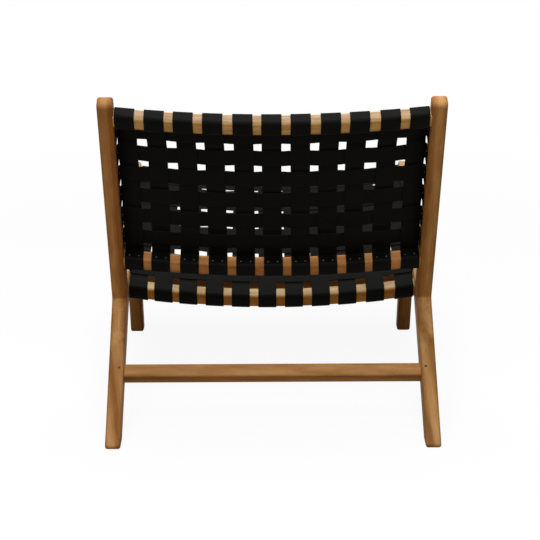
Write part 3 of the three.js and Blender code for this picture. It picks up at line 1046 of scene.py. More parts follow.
@dataclass
class SideBoards:
    """The bent rear boards, the seat's side rails and the front legs."""

    layout: Layout
    post_length: float = 0.481
    post_top_depth: float = 0.032
    post_top_round: float = 0.010
    elbow_round: float = 0.005
    rear_foot_depth: float = 0.036
    heel_round: float = 0.006
    toe_round: float = 0.008
    side_rail_reach: float = 0.484
    side_rail_end_round: float = 0.018
    shoulder_setback: float = 0.005
    crotch_round: float = 0.014
    knee_round: float = 0.060
    front_foot_depth: float = 0.034
    front_leg_top_depth: float = 0.046
    front_foot_round: float = 0.007
    front_leg_length: float = 0.360
    joint_gap: float = 0.0003
    arc_steps: int = 10
    edge_steps: int = 6

    def side_outline(self) -> Array:
        """Outline of the rear board and the side rail together, before they are parted.

        Returns:
            Side-view points, from the heel round by the toe, the rail and the post's top.
        """
        seat, back = self.layout.seat, self.layout.back
        under, proud = self.layout.side_rail_under, self.layout.side_rail_proud
        toe = self.rear_foot_depth / math.cos(math.radians(self.layout.rear_leg_rake))
        corners = np.array([
            (0.0, 0.0),
            (toe, 0.0),
            seat.at(-self.shoulder_setback, under),
            seat.at(self.side_rail_reach, under),
            seat.at(self.side_rail_reach, proud),
            seat.at(-self.shoulder_setback, proud),
            back.at(self.post_length, self.post_top_depth),
            back.at(self.post_length, 0.0),
            back.at(0.0, 0.0),
        ])
        radii = np.array([
            self.heel_round,
            self.toe_round,
            self.knee_round,
            self.side_rail_end_round,
            self.side_rail_end_round,
            self.crotch_round,
            self.post_top_round,
            self.post_top_round,
            self.elbow_round,
        ])
        return rounded_outline(corners, radii, self.arc_steps)

    def leg_outline(self) -> Array:
        """Outline of a front leg that runs on into the side rail.

        Returns:
            Side-view points, from the heel round by the toe and the top.
        """
        leg = self.layout.front_leg
        heel = self.layout.front_foot_forward
        toe = heel + self.front_foot_depth / math.cos(math.radians(self.layout.front_leg_rake))
        corners = np.array([
            (heel, 0.0),
            (toe, 0.0),
            leg.at(self.front_leg_length, self.front_leg_top_depth),
            leg.at(self.front_leg_length, 0.0),
        ])
        return rounded_outline(corners, np.full(len(corners), self.front_foot_round), self.arc_steps)

    def board(self, outline: Array, side: Side) -> Patch:
        """A board with rounded edges.

        Ring by ring through the thickness, the outline moves in by r (1 - cos t) while x moves
        by r sin t, with t from -90 to 90 degrees and the flat rim in the middle.

        Args:
            outline: Its side-view outline.
            side: The side of the chair.

        Returns:
            The board's patch.
        """
        quarter = np.linspace(0, math.pi / 2, self.edge_steps)
        edge = self.layout.edge_round
        flat = self.layout.board_thickness / 2 - edge
        inset = edge * (1 - np.cos(np.concatenate([-quarter[::-1], quarter])))
        depth = np.concatenate([-flat - edge * np.sin(quarter[::-1]), flat + edge * np.sin(quarter)])
        rings = outline[None] + inset[:, None, None] * inward(outline)[None]
        centre = side.value * (self.layout.half_width - self.layout.board_thickness / 2)
        points = self.layout.to_space((centre + depth)[:, None], rings)
        return sweep(points, depth, distances(closed(outline)))

    def saw(self, piece: bpy.types.Object, place: Array, normal: Array) -> None:
        """Saws a board and smooths it again.

        Args:
            piece: The board.
            place: A side-view place on the cut.
            normal: The direction square to the cut, on the side that is dropped.
        """
        cut_off(piece, self.layout.to_space(np.array(0.0), place), normal)
        smooth(piece)

    def piece(
        self,
        name: str,
        patch: Patch,
        finishes: dict[str, OiledHardwood],
        node: str,
    ) -> bpy.types.Object:
        """Adds one board in place of its CAD node."""
        return add_piece(name, patch, finishes[name].material(), (node,))

    def build(self, finishes: dict[str, OiledHardwood]) -> None:
        """Makes the six boards.

        Args:
            finishes: The wood for each piece, by the piece's name.
        """
        seat = self.layout.seat
        along, up = in_space(seat.along_degrees), in_space(seat.out_degrees)
        shoulder = seat.at(-self.shoulder_setback, 0.0)
        before_shoulder = seat.at(-self.shoulder_setback - self.joint_gap, 0.0)
        below_rail = seat.at(0.0, self.layout.side_rail_under - self.joint_gap)
        for side in Side:
            whole = self.board(self.side_outline(), side)
            rear = self.piece(f"rear_board_{side.word}", whole, finishes, f"rear_leg_and_post_{side.word}")
            self.saw(rear, before_shoulder, along)
            rail = self.piece(f"side_rail_{side.word}", whole, finishes, f"seat_side_rail_{side.word}")
            self.saw(rail, shoulder, -along)
            upright = self.board(self.leg_outline(), side)
            leg = self.piece(f"front_board_{side.word}", upright, finishes, f"front_leg_{side.word}")
            self.saw(leg, below_rail, up)


@dataclass(frozen=True)
class RailPlace:
    """Where a rail lies: its frame, its near edge along and out of that frame, and its bow."""

    frame: SideFrame
    along: float
    out: float
    bow: float


@dataclass
class CrossRails:
    """The four bowed rails that carry the straps, and the two straight stretchers."""

    layout: Layout
    stretcher_width: float = 0.029
    stretcher_depth: float = 0.032
    rear_stretcher_at: float = 0.1705
    rear_stretcher_inset: float = 0.010
    front_stretcher_at: float = 0.109
    front_stretcher_inset: float = 0.008
    into_board: float = 0.002
    stations: int = 61
    corner_steps: int = 6

    def places(self) -> dict[str, RailPlace]:
        """Places of the rails and the stretchers.

        Returns:
            Each place by its CAD node.
        """
        size = self.layout
        inset, under = size.back_rail_inset, -size.rail_depth
        rear, front = self.rear_stretcher_at, self.front_stretcher_at
        return {
            "back_top_rail": RailPlace(size.back, size.top_rail_at, inset, size.back_bow),
            "back_lower_rail": RailPlace(size.back, size.lower_rail_at, inset, size.back_bow),
            "seat_rear_rail": RailPlace(size.seat, 0.0, under, size.seat_bow),
            "seat_front_rail": RailPlace(size.seat, size.front_rail_at, under, size.seat_bow),
            "rear_stretcher": RailPlace(size.rear_leg, rear, self.rear_stretcher_inset, 0.0),
            "front_stretcher": RailPlace(size.front_leg, front, self.front_stretcher_inset, 0.0),
        }

    def stock(self, node: str) -> tuple[float, float]:
        """Section of a rail or a stretcher.

        Args:
            node: Its CAD node.

        Returns:
            Its width along its frame and its depth out of it.
        """
        if node.endswith("stretcher"):
            return self.stretcher_width, self.stretcher_depth
        return self.layout.rail_width, self.layout.rail_depth

    def rail(self, node: str) -> Patch:
        """A rounded section carried across the chair along the panel's parabola.

        Args:
            node: The rail's CAD node.

        Returns:
            The rail's patch.
        """
        size = self.layout
        place = self.places()[node]
        width, depth = self.stock(node)
        section = rounded_section(width, depth, size.rail_round, self.corner_steps)
        end = size.inner_half + self.into_board
        x = np.linspace(-end, end, self.stations)[:, None]
        along = place.along + width / 2 + section[None, :, 0]
        out = place.out + depth / 2 + section[None, :, 1] - size.dish(place.bow, x)
        points = size.to_space(x, place.frame.at(along, out))
        return sweep(points, x[:, 0], distances(closed(section)))

    def build(self, finishes: dict[str, OiledHardwood]) -> None:
        """Makes the six rails, each in its own wood.

        Args:
            finishes: The wood for each piece, by the piece's name.
        """
        for node in self.places():
            name = f"{node}_bar"
            add_piece(name, self.rail(node), finishes[name].material(), (node,))


@dataclass
class Pegs:
    """Round pegs that lock the stretchers' tenons, flush with the rear faces of the legs.

    The crown of a peg's head is a list of shares, of the radius and of the height that it stands proud.
    """

    layout: Layout
    rails: CrossRails
    radius: float = 0.003
    from_inner_face: float = 0.009
    length: float = 0.022
    proud: float = 0.0003
    crown: tuple[tuple[float, float], ...] = ((0.25, -1.0), (0.70, -0.8), (0.92, -0.4), (1.0, 1.0))
    sides: int = 28

    def pin(self) -> Patch:
        """A pin along its own third axis: its crown and its shank turned about that axis.

        Returns:
            The pin's patch, with its head at the origin.
        """
        radius_shares, height_shares = np.array(self.crown).T
        radius = self.radius * np.append(radius_shares, 1.0)
        depth = np.append(self.proud * height_shares, self.length)
        return turned(radius, depth, self.sides)

    def build(self, finish: OiledHardwood) -> None:
        """Makes the four pegs, each driven forwards into its leg.

        Args:
            finish: The pegs' wood.
        """
        wood = finish.material()
        for rail in ("rear_stretcher", "front_stretcher"):
            place = self.rails.places()[rail]
            width, _ = self.rails.stock(rail)
            spot = place.frame.at(place.along + width / 2, 0.0)
            axes = square_axes(in_space(place.frame.out_degrees))
            for side in Side:
                x = side.value * (self.layout.inner_half + self.from_inner_face)
                point = self.layout.to_space(np.array(x), spot)
                patch = repeated(self.pin(), point[None], axes[None]).outward()
                node = f"{rail}_peg_{side.word}"
                add_piece(f"{rail}_pin_{side.word}", patch, wood, (node,))


# Leather straps


@dataclass(frozen=True)
class RailCorner:
    """A corner of a rail that a strap goes round: its signs, the turn's angles and the way on from it."""

    along: int
    out: int
    start: float
    end: float
    heading: tuple[int, int]


RAIL_CORNERS = (
    RailCorner(1, 1, 90.0, 0.0, (0, -1)),
    RailCorner(1, -1, 0.0, -90.0, (-1, 0)),
    RailCorner(-1, -1, -90.0, -180.0, (0, 1)),
)
LEAST_TURN_COSINE = 0.5
TACKS_APART = 0.0186
TACK_FROM_TIP = 0.007
# A panel has a hundred seeds for its straps' drift, and its cross straps take theirs from the second half.
SEEDS_IN_PANEL = 100
FIRST_CROSS_SEED = 50


def path_normals(path: Array) -> Array:
    """Left-hand normals of a flat path, lengthened at its bends so that the strap keeps its thickness.

    A normal is square to the mean of the two steps beside its point, and as long as one over the
    cosine of half the turn there.

    Args:
        path: The path's points.

    Returns:
        One normal for each point.
    """
    steps = np.diff(path, axis=0)
    steps /= np.linalg.norm(steps, axis=1, keepdims=True)
    into = np.concatenate([steps[:1], steps])
    away = np.concatenate([steps, steps[-1:]])
    ahead = into + away
    ahead /= np.linalg.norm(ahead, axis=1, keepdims=True)
    stretch = 1 / np.maximum((ahead * into).sum(axis=1), LEAST_TURN_COSINE)
    return np.stack([-ahead[:, 1], ahead[:, 0]], axis=1) * stretch[:, None]


def arc(centre: Array, radius: float, start: float, end: float, steps: int) -> Array:
    """Points on a circle between two angles in degrees."""
    angle = np.radians(np.linspace(start, end, steps))
    return centre + radius * np.stack([np.cos(angle), np.sin(angle)], axis=1)


@dataclass
class WovenPanel(ABC):
    """One woven panel: long straps wrapped round two rails, and cross straps through them.

    The two rails' places, wraps and flaps are given for the panel's near end and its far end. The long
    straps were laid by hand: laid_by holds their offsets, a row for each place along the panel in laid_at.
    """

    layout: Layout
    name: str
    place: SideFrame
    bow: float
    rail_out: float
    rails_at: tuple[float, float]
    wraps: tuple[int, int]
    flaps: tuple[float, float]
    rows: Array
    laid_at: tuple[float, ...]
    laid_by: Array
    seed: int
    columns: int = 11
    long_width: float = 0.0375
    long_edge_gap: float = 0.0030
    cross_width: float = 0.0355
    crossing_margin: float = 0.001
    edge_round: float = 0.0008
    wander: float = 0.0005
    slow_wave: float = 7.0
    quick_wave: float = 17.0
    quick_share: float = 0.5
    spans: int = 8
    edge_steps: int = 4
    bend_steps: int = 9
    woven_steps: int = 220

    @property
    def level(self) -> float:
        """The middle of the weave, out of the panel's frame at the side boards."""
        return self.rail_out + self.layout.rail_depth + self.layout.strap_lift

    @property
    def column_places(self) -> Array:
        """The long straps' middles across the chair."""
        outermost = self.layout.inner_half - self.long_edge_gap - self.long_width / 2
        return np.linspace(-outermost, outermost, self.columns)

    def section(self, width: float) -> Array:
        """A strap's section: two flat faces and four round edges.

        Args:
            width: The strap's width.

        Returns:
            Points (across, through) about the strap's middle.
        """
        half, radius = self.layout.strap_thickness / 2, self.edge_round
        flat_half = width / 2 - radius
        flat = np.linspace(-flat_half, flat_half, self.spans + 1)
        upper = np.stack([flat[::-1], np.full_like(flat, half)], axis=1)
        lower = np.stack([flat, np.full_like(flat, -half)], axis=1)
        edges = []
        for side, face, start in ((1, -1, -90), (1, 1, 0), (-1, 1, 90), (-1, -1, 180)):
            centre = np.array([side * flat_half, face * (half - radius)])
            edges.append(arc(centre, radius, start, start + 90, self.edge_steps)[1:])
        return np.concatenate([lower, edges[0], edges[1][:-1], upper, edges[2], edges[3][:-1]])

    def laid(self, along: float) -> Array:
        """Places of the long straps' middles at a place along the panel, as they were laid by hand."""
        offsets = [np.interp(along, self.laid_at, by) for by in self.laid_by.T]
        return self.column_places + np.array(offsets)

    def drift(self, path: Array, number: int) -> Array:
        """Small sideways drift of a strap: two sine waves of the distance along it, with seeded phases.

        Args:
            path: The strap's path.
            number: The number of the strap's own seed in its panel.

        Returns:
            The drift at each point of the path.
        """
        length = distances(path)
        phase = np.random.default_rng(self.seed * SEEDS_IN_PANEL + number).uniform(0, 2 * math.pi, 2)
        slow = np.sin(self.slow_wave * length + phase[0])
        quick = np.sin(self.quick_wave * length + phase[1])
        return self.wander * (slow + self.quick_share * quick)

    def woven(
        self,
        places: Array,
        middles: Array,
        half_flat: float,
        lift: float,
        phase: int,
        ends: tuple[float, float] | None,
    ) -> Array:
        """Height of a strap in the weave.

        It stays over or under each crossing and passes between them on half a sine wave.

        Args:
            places: Where the height is wanted along the strap.
            middles: The middles of the crossings.
            half_flat: Half of the flat stretch at a crossing.
            lift: How far the strap gives way at a crossing.
            phase: 0 where the first crossing is passed on the face side, 1 where it is behind.
            ends: The first and last place of the weave, or None where the strap runs on flat.

        Returns:
            Heights out of the panel's frame.
        """
        signs = 1.0 - 2.0 * ((np.arange(len(middles)) + phase) % 2)
        breaks = (middles[:, None] + np.array([-half_flat, half_flat])).ravel()
        values = np.repeat(signs, 2)
        if ends is not None:
            breaks = np.concatenate([[ends[0]], breaks, [ends[1]]])
            values = np.concatenate([[0.0], values, [0.0]])
        wave = np.sin(math.pi / 2 * np.interp(places, breaks, values))
        return self.level + lift * wave

    def wrap(self, rail_at: float, ahead: int, bends: int, flap: float) -> Array:
        """Path of a strap that lands on a rail and goes round its corners to a straight flap.

        Args:
            rail_at: The rail's near edge along the panel.
            ahead: 1 where the strap runs towards the panel's far end, or -1.
            bends: Corners that it goes round.
            flap: Length of the last straight stretch.

        Returns:
            Points (along, out).
        """
        size = self.layout
        radius = size.rail_round + size.strap_lift
        half_along = size.rail_width / 2 - size.rail_round
        half_out = size.rail_depth / 2 - size.rail_round
        corners = RAIL_CORNERS[:bends]
        turns = [
            arc(np.array([c.along * half_along, c.out * half_out]), radius, c.start, c.end, self.bend_steps)
            for c in corners
        ]
        landing = np.array([[-size.rail_width / 2, half_out + radius]])
        tip = turns[-1][-1:] + flap * np.array(corners[-1].heading)
        path = np.concatenate([landing, *turns, tip]) * np.array([ahead, 1])
        return path + np.array([rail_at + size.rail_width / 2, self.rail_out + size.rail_depth / 2])

    def on_panel(self, x: Array, along: Array | float, out: Array | float) -> Array:
        """Points in space from places on the dished panel."""
        x, along, out = np.broadcast_arrays(x, along, out)
        return self.layout.to_space(x, self.place.at(along, out - self.layout.dish(self.bow, x)))

    def long_strap(self, index: int) -> Patch:
        """A strap along the panel: its section carried along its path, then dished across the chair.

        Args:
            index: Its place among the long straps, from the sitter's right.

        Returns:
            The strap's patch.
        """
        first = self.wrap(self.rails_at[0], -1, self.wraps[0], self.flaps[0])[::-1]
        last = self.wrap(self.rails_at[1], 1, self.wraps[1], self.flaps[1])
        ends = (first[-1, 0], last[0, 0])
        along = np.linspace(*ends, self.woven_steps)[1:-1]
        half_flat = self.cross_width / 2 + self.crossing_margin
        out = self.woven(along, self.rows, half_flat, self.layout.long_lift, index + 1, ends)
        path = np.concatenate([first, np.stack([along, out], axis=1), last])
        section = self.section(self.long_width)
        laid = np.interp(path[:, 0], self.laid_at, self.laid_by[:, index])
        middle = self.column_places[index] + laid + self.drift(path, index)
        x = middle[:, None] + section[None, :, 0]
        flat = path[:, None] + path_normals(path)[:, None] * section[None, :, 1:]
        points = self.on_panel(x, flat[..., 0], flat[..., 1])
        return sweep(points, distances(path), closed(section)[:, 0])

    def cross_strap(self, row: int) -> Patch:
        """A strap across the chair: its section carried along its path, then dished with the panel.

        Args:
            row: Its place among the cross straps, from the panel's near end.

        Returns:
            The strap's patch.
        """
        ending = self.ending(row)
        x = np.linspace(-ending[0, 0], ending[0, 0], 2 * self.woven_steps)[1:-1]
        half_flat = self.long_width / 2 + self.crossing_margin / 2
        out = self.woven(x, self.laid(self.rows[row]), half_flat, self.layout.cross_lift, row, None)
        mirrored = (ending * np.array([-1, 1]))[::-1]
        path = np.concatenate([mirrored, np.stack([x, out], axis=1), ending])
        section = self.section(self.cross_width)
        flat = path[:, None] + path_normals(path)[:, None] * section[None, :, 1:]
        along = self.rows[row] + section[None, :, 0] + self.drift(path, FIRST_CROSS_SEED + row)[:, None]
        points = self.on_panel(flat[..., 0], along, flat[..., 1])
        return sweep(points, distances(path), closed(section)[:, 0])

    def outer_height(self, row: int) -> float:
        """Height of a cross strap at the outermost long strap."""
        sign = 1 - 2 * ((self.columns - 1 + row) % 2)
        return self.level + sign * self.layout.cross_lift

    @abstractmethod
    def ending(self, row: int) -> Array:
        """Path (across, out) of a cross strap's end on the left, from the weave to its tip."""

    @abstractmethod
    def tack_places(self) -> tuple[Array, Array]:
        """Places and outward directions of the tacks that hold the strap ends."""

    def pairs(self, middles: Array) -> Array:
        """Two tacks' places for each middle."""
        return (middles[:, None] + np.array([-TACKS_APART / 2, TACKS_APART / 2])).ravel()

    def joined(self, *groups: tuple[Array, Array]) -> tuple[Array, Array]:
        """Joins groups of tacks.

        Args:
            groups: The places of each group and its one outward direction.

        Returns:
            All the places, and an outward direction for each.
        """
        places = np.concatenate([group for group, _ in groups])
        outward = np.concatenate([np.tile(direction, (len(group), 1)) for group, direction in groups])
        return places, outward

    def build(self, long_finish: DyedLeather, cross_finish: DyedLeather) -> None:
        """Makes all the panel's straps.

        Args:
            long_finish: The long straps' leather.
            cross_finish: The cross straps' leather.
        """
        long_leather, cross_leather = long_finish.material(), cross_finish.material()
        for index in range(self.columns):
            name = f"{self.name}_long_leather_{index + 1:02d}"
            node = f"{self.name}_long_strap_{index + 1:02d}"
            add_piece(name, self.long_strap(index), long_leather, (node,))
        for row in range(len(self.rows)):
            name = f"{self.name}_cross_leather_{row + 1}"
            node = f"{self.name}_cross_strap_{row + 1}"
            add_piece(name, self.cross_strap(row), cross_leather, (node,))


@dataclass
class BackPanel(WovenPanel):
    """The back: the cross straps turn rearwards on to the inner faces of the posts."""

    post_flap: float = 0.022
    flap_bend: float = 0.0018
    low_tacks_from_round: float = 0.0035
    high_tacks_from_round: float = 0.0060

    def ending(self, row: int) -> Array:
        """Path of a cross strap's end, round a tight bend and along the post's inner face.

        Args:
            row: The cross strap's place, from the panel's near end.

        Returns:
            Points (across, out), from the weave to the tip.
        """
        beside = self.layout.inner_half - self.layout.strap_lift
        out = self.outer_height(row)
        centre = np.array([beside - self.flap_bend, out - self.flap_bend])
        bend = arc(centre, self.flap_bend, 90, 0, self.bend_steps)
        return np.concatenate([bend, [[beside, self.level - self.post_flap]]])

    def tack_places(self) -> tuple[Array, Array]:
        """Tacks on the lower rail's upper face, under the top rail and on the posts.

        Returns:
            Their places and their outward directions.
        """
        size = self.layout
        straight = self.rail_out + size.rail_round
        low_at = self.rails_at[0] + size.rail_width + size.strap_top
        low = self.on_panel(self.pairs(self.laid(low_at)), low_at, straight + self.low_tacks_from_round)
        high_at = self.rails_at[1] - size.strap_top
        high = self.on_panel(self.pairs(self.laid(high_at)), high_at, straight + self.high_tacks_from_round)
        rows = self.pairs(self.rows)
        on_post = self.level - self.post_flap + TACK_FROM_TIP
        post_x = np.full_like(rows, size.inner_half - size.strap_top)
        left = self.on_panel(post_x, rows, on_post)
        right = self.on_panel(-post_x, rows, on_post)
        up = in_space(self.place.along_degrees)
        return self.joined((low, up), (high, -up), (left, -ACROSS), (right, ACROSS))


@dataclass
class SeatPanel(WovenPanel):
    """The seat: the cross straps climb the side rails and lie down their outer faces."""

    climb_bend: float = 0.0018
    rail_flap: float = 0.022
    tacks_from_round: float = 0.006

    def ending(self, row: int) -> Array:
        """Path of a cross strap's end, up the rail's inner face, over its top and down outside.

        Args:
            row: The cross strap's place, from the panel's near end.

        Returns:
            Points (across, out), from the weave to the tip.
        """
        size = self.layout
        beside = size.inner_half - size.strap_lift
        foot_centre = np.array([beside - self.climb_bend, self.outer_height(row) + self.climb_bend])
        foot = arc(foot_centre, self.climb_bend, -90, 0, self.bend_steps)
        corner_out = size.side_rail_proud - size.edge_round
        over = size.edge_round + size.strap_lift
        inner_centre = np.array([size.inner_half + size.edge_round, corner_out])
        inner = arc(inner_centre, over, 180, 90, self.bend_steps)
        outer_centre = np.array([size.half_width - size.edge_round, corner_out])
        outer = arc(outer_centre, over, 90, 0, self.bend_steps)
        tip = np.array([[size.half_width + size.strap_lift, corner_out - self.rail_flap]])
        return np.concatenate([foot, inner, outer, tip])

    def tack_places(self) -> tuple[Array, Array]:
        """Tacks under both seat rails and on the outer faces of the side rails.

        Returns:
            Their places and their outward directions.
        """
        size = self.layout
        under = self.rail_out - size.strap_top
        in_rail = size.rail_round + self.tacks_from_round
        rear_at = self.rails_at[0] + in_rail
        rear = self.on_panel(self.pairs(self.laid(rear_at)), rear_at, under)
        front_at = self.rails_at[1] + size.rail_width - in_rail
        front = self.on_panel(self.pairs(self.laid(front_at)), front_at, under)
        rows = self.pairs(self.rows)
        on_rail = size.side_rail_proud - size.edge_round - self.rail_flap + TACK_FROM_TIP
        rail_x = np.full_like(rows, size.half_width + size.strap_top)
        left = self.on_panel(rail_x, rows, on_rail)
        right = self.on_panel(-rail_x, rows, on_rail)
        down = in_space(self.place.out_degrees + 180)
        return self.joined((rear, down), (front, down), (left, ACROSS), (right, -ACROSS))


@dataclass
class Tacks:
    """Small domed tacks through the strap ends."""

    radius: float = 0.0017
    height: float = 0.0009
    dome_degrees: tuple[float, ...] = (0.0, 30.0, 58.0, 80.0)
    sides: int = 10

    def head(self) -> Patch:
        """A low dome along its own third axis: radius times cos t, height times sin t.

        Returns:
            The head's patch, with its rim at the origin and its back a little below.
        """
        angle = np.radians(self.dome_degrees)
        radius = self.radius * np.concatenate([[1.0], np.cos(angle)])
        depth = np.concatenate([[-self.height / 2], self.height * np.sin(angle)])
        return turned(radius, depth, self.sides)

    def build(self, panel: WovenPanel, metal: bpy.types.Material) -> None:
        """Makes all the tacks of one panel as one piece.

        Args:
            panel: The panel whose strap ends they hold.
            metal: Their finish.
        """
        places, outward = panel.tack_places()
        patch = repeated(self.head(), places, square_axes(outward)).outward()
        add_piece(f"{panel.name}_tacks", patch, metal)


# Studio


@dataclass(frozen=True)
class Lamp:
    """A square soft lamp: its place, the point it faces, its side and its power."""

    name: str
    place: Triple
    aim: Triple
    size: float
    power: float


@dataclass
class Studio:
    """Pale floor, a small lamp overhead, a wide one above the camera, and the camera behind the chair."""

    focal_pixels: float = 1644.06
    frame_pixels: float = 540.0
    sensor_width: float = 36.0
    camera_place: Triple = (0.0259, 3.3154, 1.2688)
    pitch: float = 17.2026
    yaw: float = 0.399
    roll: float = 0.14
    white: Triple = (1.0, 1.0, 1.0)
    floor_half: float = 30.0
    floor_bounce: Triple = (0.27, 0.18, 0.07)
    floor_paper: Triple = (0.95, 0.95, 0.95)
    shadow_share: float = 0.08
    shadow_fade: tuple[float, float] = (0.9, 2.6)
    ambient: float = 0.12
    lamps: tuple[Lamp, ...] = (
        Lamp("overhead", (0.0, -0.1, 3.1), (0.0, 0.1, 0.3), 1.6, 52.0),
        Lamp("key", (0.3, 2.6, 3.5), (0.0, 0.1, 0.3), 3.0, 126.0),
    )

    def camera(self) -> None:
        """Places the camera: it looks along -Y, pitched down, with a small yaw and roll."""
        data = bpy.data.cameras.new("camera")
        data.sensor_width = self.sensor_width
        data.lens = self.sensor_width * self.focal_pixels / self.frame_pixels
        pitch, yaw, roll = (math.radians(angle) for angle in (self.pitch, self.yaw, self.roll))
        ahead = np.array([
            -math.sin(yaw) * math.cos(pitch),
            -math.cos(yaw) * math.cos(pitch),
            -math.sin(pitch),
        ])
        level = np.array([-math.cos(yaw), math.sin(yaw), 0.0])
        upright = np.cross(level, ahead)
        right = level * math.cos(roll) - upright * math.sin(roll)
        up = upright * math.cos(roll) + level * math.sin(roll)
        turn = np.eye(4)
        turn[:3, :3] = np.stack([right, up, -ahead], axis=1)
        turn[:3, 3] = self.camera_place
        camera = bpy.data.objects.new("camera", data)
        camera.matrix_world = Matrix(turn.tolist())
        bpy.context.scene.collection.objects.link(camera)
        bpy.context.scene.camera = camera

    def seen(self, graph: Graph) -> Socket:
        """Tells the rays that show a surface from those that only light the chair.

        Args:
            graph: The nodes of the surface.

        Returns:
            1 for a ray from the camera, or one that a glossy or clear surface sends on, and 0 for light.
        """
        path = graph.add("ShaderNodeLightPath").outputs
        direct_or_glossy = graph.arithmetic("MAXIMUM", path["Is Camera Ray"], path["Is Glossy Ray"])
        return graph.arithmetic("MAXIMUM", direct_or_glossy, path["Is Transmission Ray"])

    def floor_material(self) -> bpy.types.Material:
        """Paper that looks white and keeps a soft shadow, which fades away from the chair.

        Returns:
            The floor's material.
        """
        material = bpy.data.materials.new("studio_floor")
        graph = Graph(material)
        seen = self.seen(graph)
        colour = graph.mix("MIX", seen, opaque(self.floor_bounce), opaque(self.floor_paper))
        paper = graph.add("ShaderNodeBsdfDiffuse", Color=colour)
        glow = graph.add("ShaderNodeEmission", Color=opaque(self.white), Strength=1.0)
        point = graph.add("ShaderNodeTexCoord").outputs["Object"]
        away = graph.fill(graph.add("ShaderNodeVectorMath", {"operation": "LENGTH"}), point).outputs["Value"]
        bright = graph.eased(away, *self.shadow_fade, 1.0 - self.shadow_share, 1.0)
        share = graph.arithmetic("MULTIPLY", seen, bright)
        graph.finish(graph.mix_shaders(share, paper.outputs["BSDF"], glow.outputs["Emission"]))
        return material

    def floor(self) -> None:
        """A wide square floor."""
        half = self.floor_half
        mesh = bpy.data.meshes.new("studio_floor")
        corners = [(-half, -half, 0.0), (half, -half, 0.0), (half, half, 0.0), (-half, half, 0.0)]
        mesh.from_pydata(corners, [], [(0, 1, 2, 3)])
        mesh.materials.append(self.floor_material())
        floor = bpy.data.objects.new("studio_floor", mesh)
        bpy.context.scene.collection.objects.link(floor)

    def world(self) -> None:
        """An even pale surround that looks white."""
        world = bpy.data.worlds.new("studio")
        graph = Graph(world)
        light = graph.add("ShaderNodeBackground", Color=opaque(self.white), Strength=self.ambient)
        backdrop = graph.add("ShaderNodeBackground", Color=opaque(self.white), Strength=1.0)
        shaders = (light.outputs["Background"], backdrop.outputs["Background"])
        graph.finish(graph.mix_shaders(self.seen(graph), *shaders))
        bpy.context.scene.world = world

    def light(self) -> None:
        """Square soft lamps, each with its own -Z turned to its aim."""
        for lamp in self.lamps:
            data = bpy.data.lights.new(lamp.name, "AREA")
            data.shape = "SQUARE"
            data.size = lamp.size
            data.energy = lamp.power
            light = bpy.data.objects.new(lamp.name, data)
            away = np.array(lamp.place) - np.array(lamp.aim)
            turn = Matrix(square_axes(away / np.linalg.norm(away)).T.tolist())
            light.matrix_world = Matrix.Translation(lamp.place) @ turn.to_4x4()
            bpy.context.scene.collection.objects.link(light)

    def build(self) -> None:
        """Sets up the camera, the floor, the surround and the lamps."""
        bpy.context.scene.view_settings.view_transform = "Standard"
        self.camera()
        self.floor()
        self.world()
        self.light()


# Chair


LEFT_LEG_SLANT = 0.14
RIGHT_LEG_SLANT = 0.10


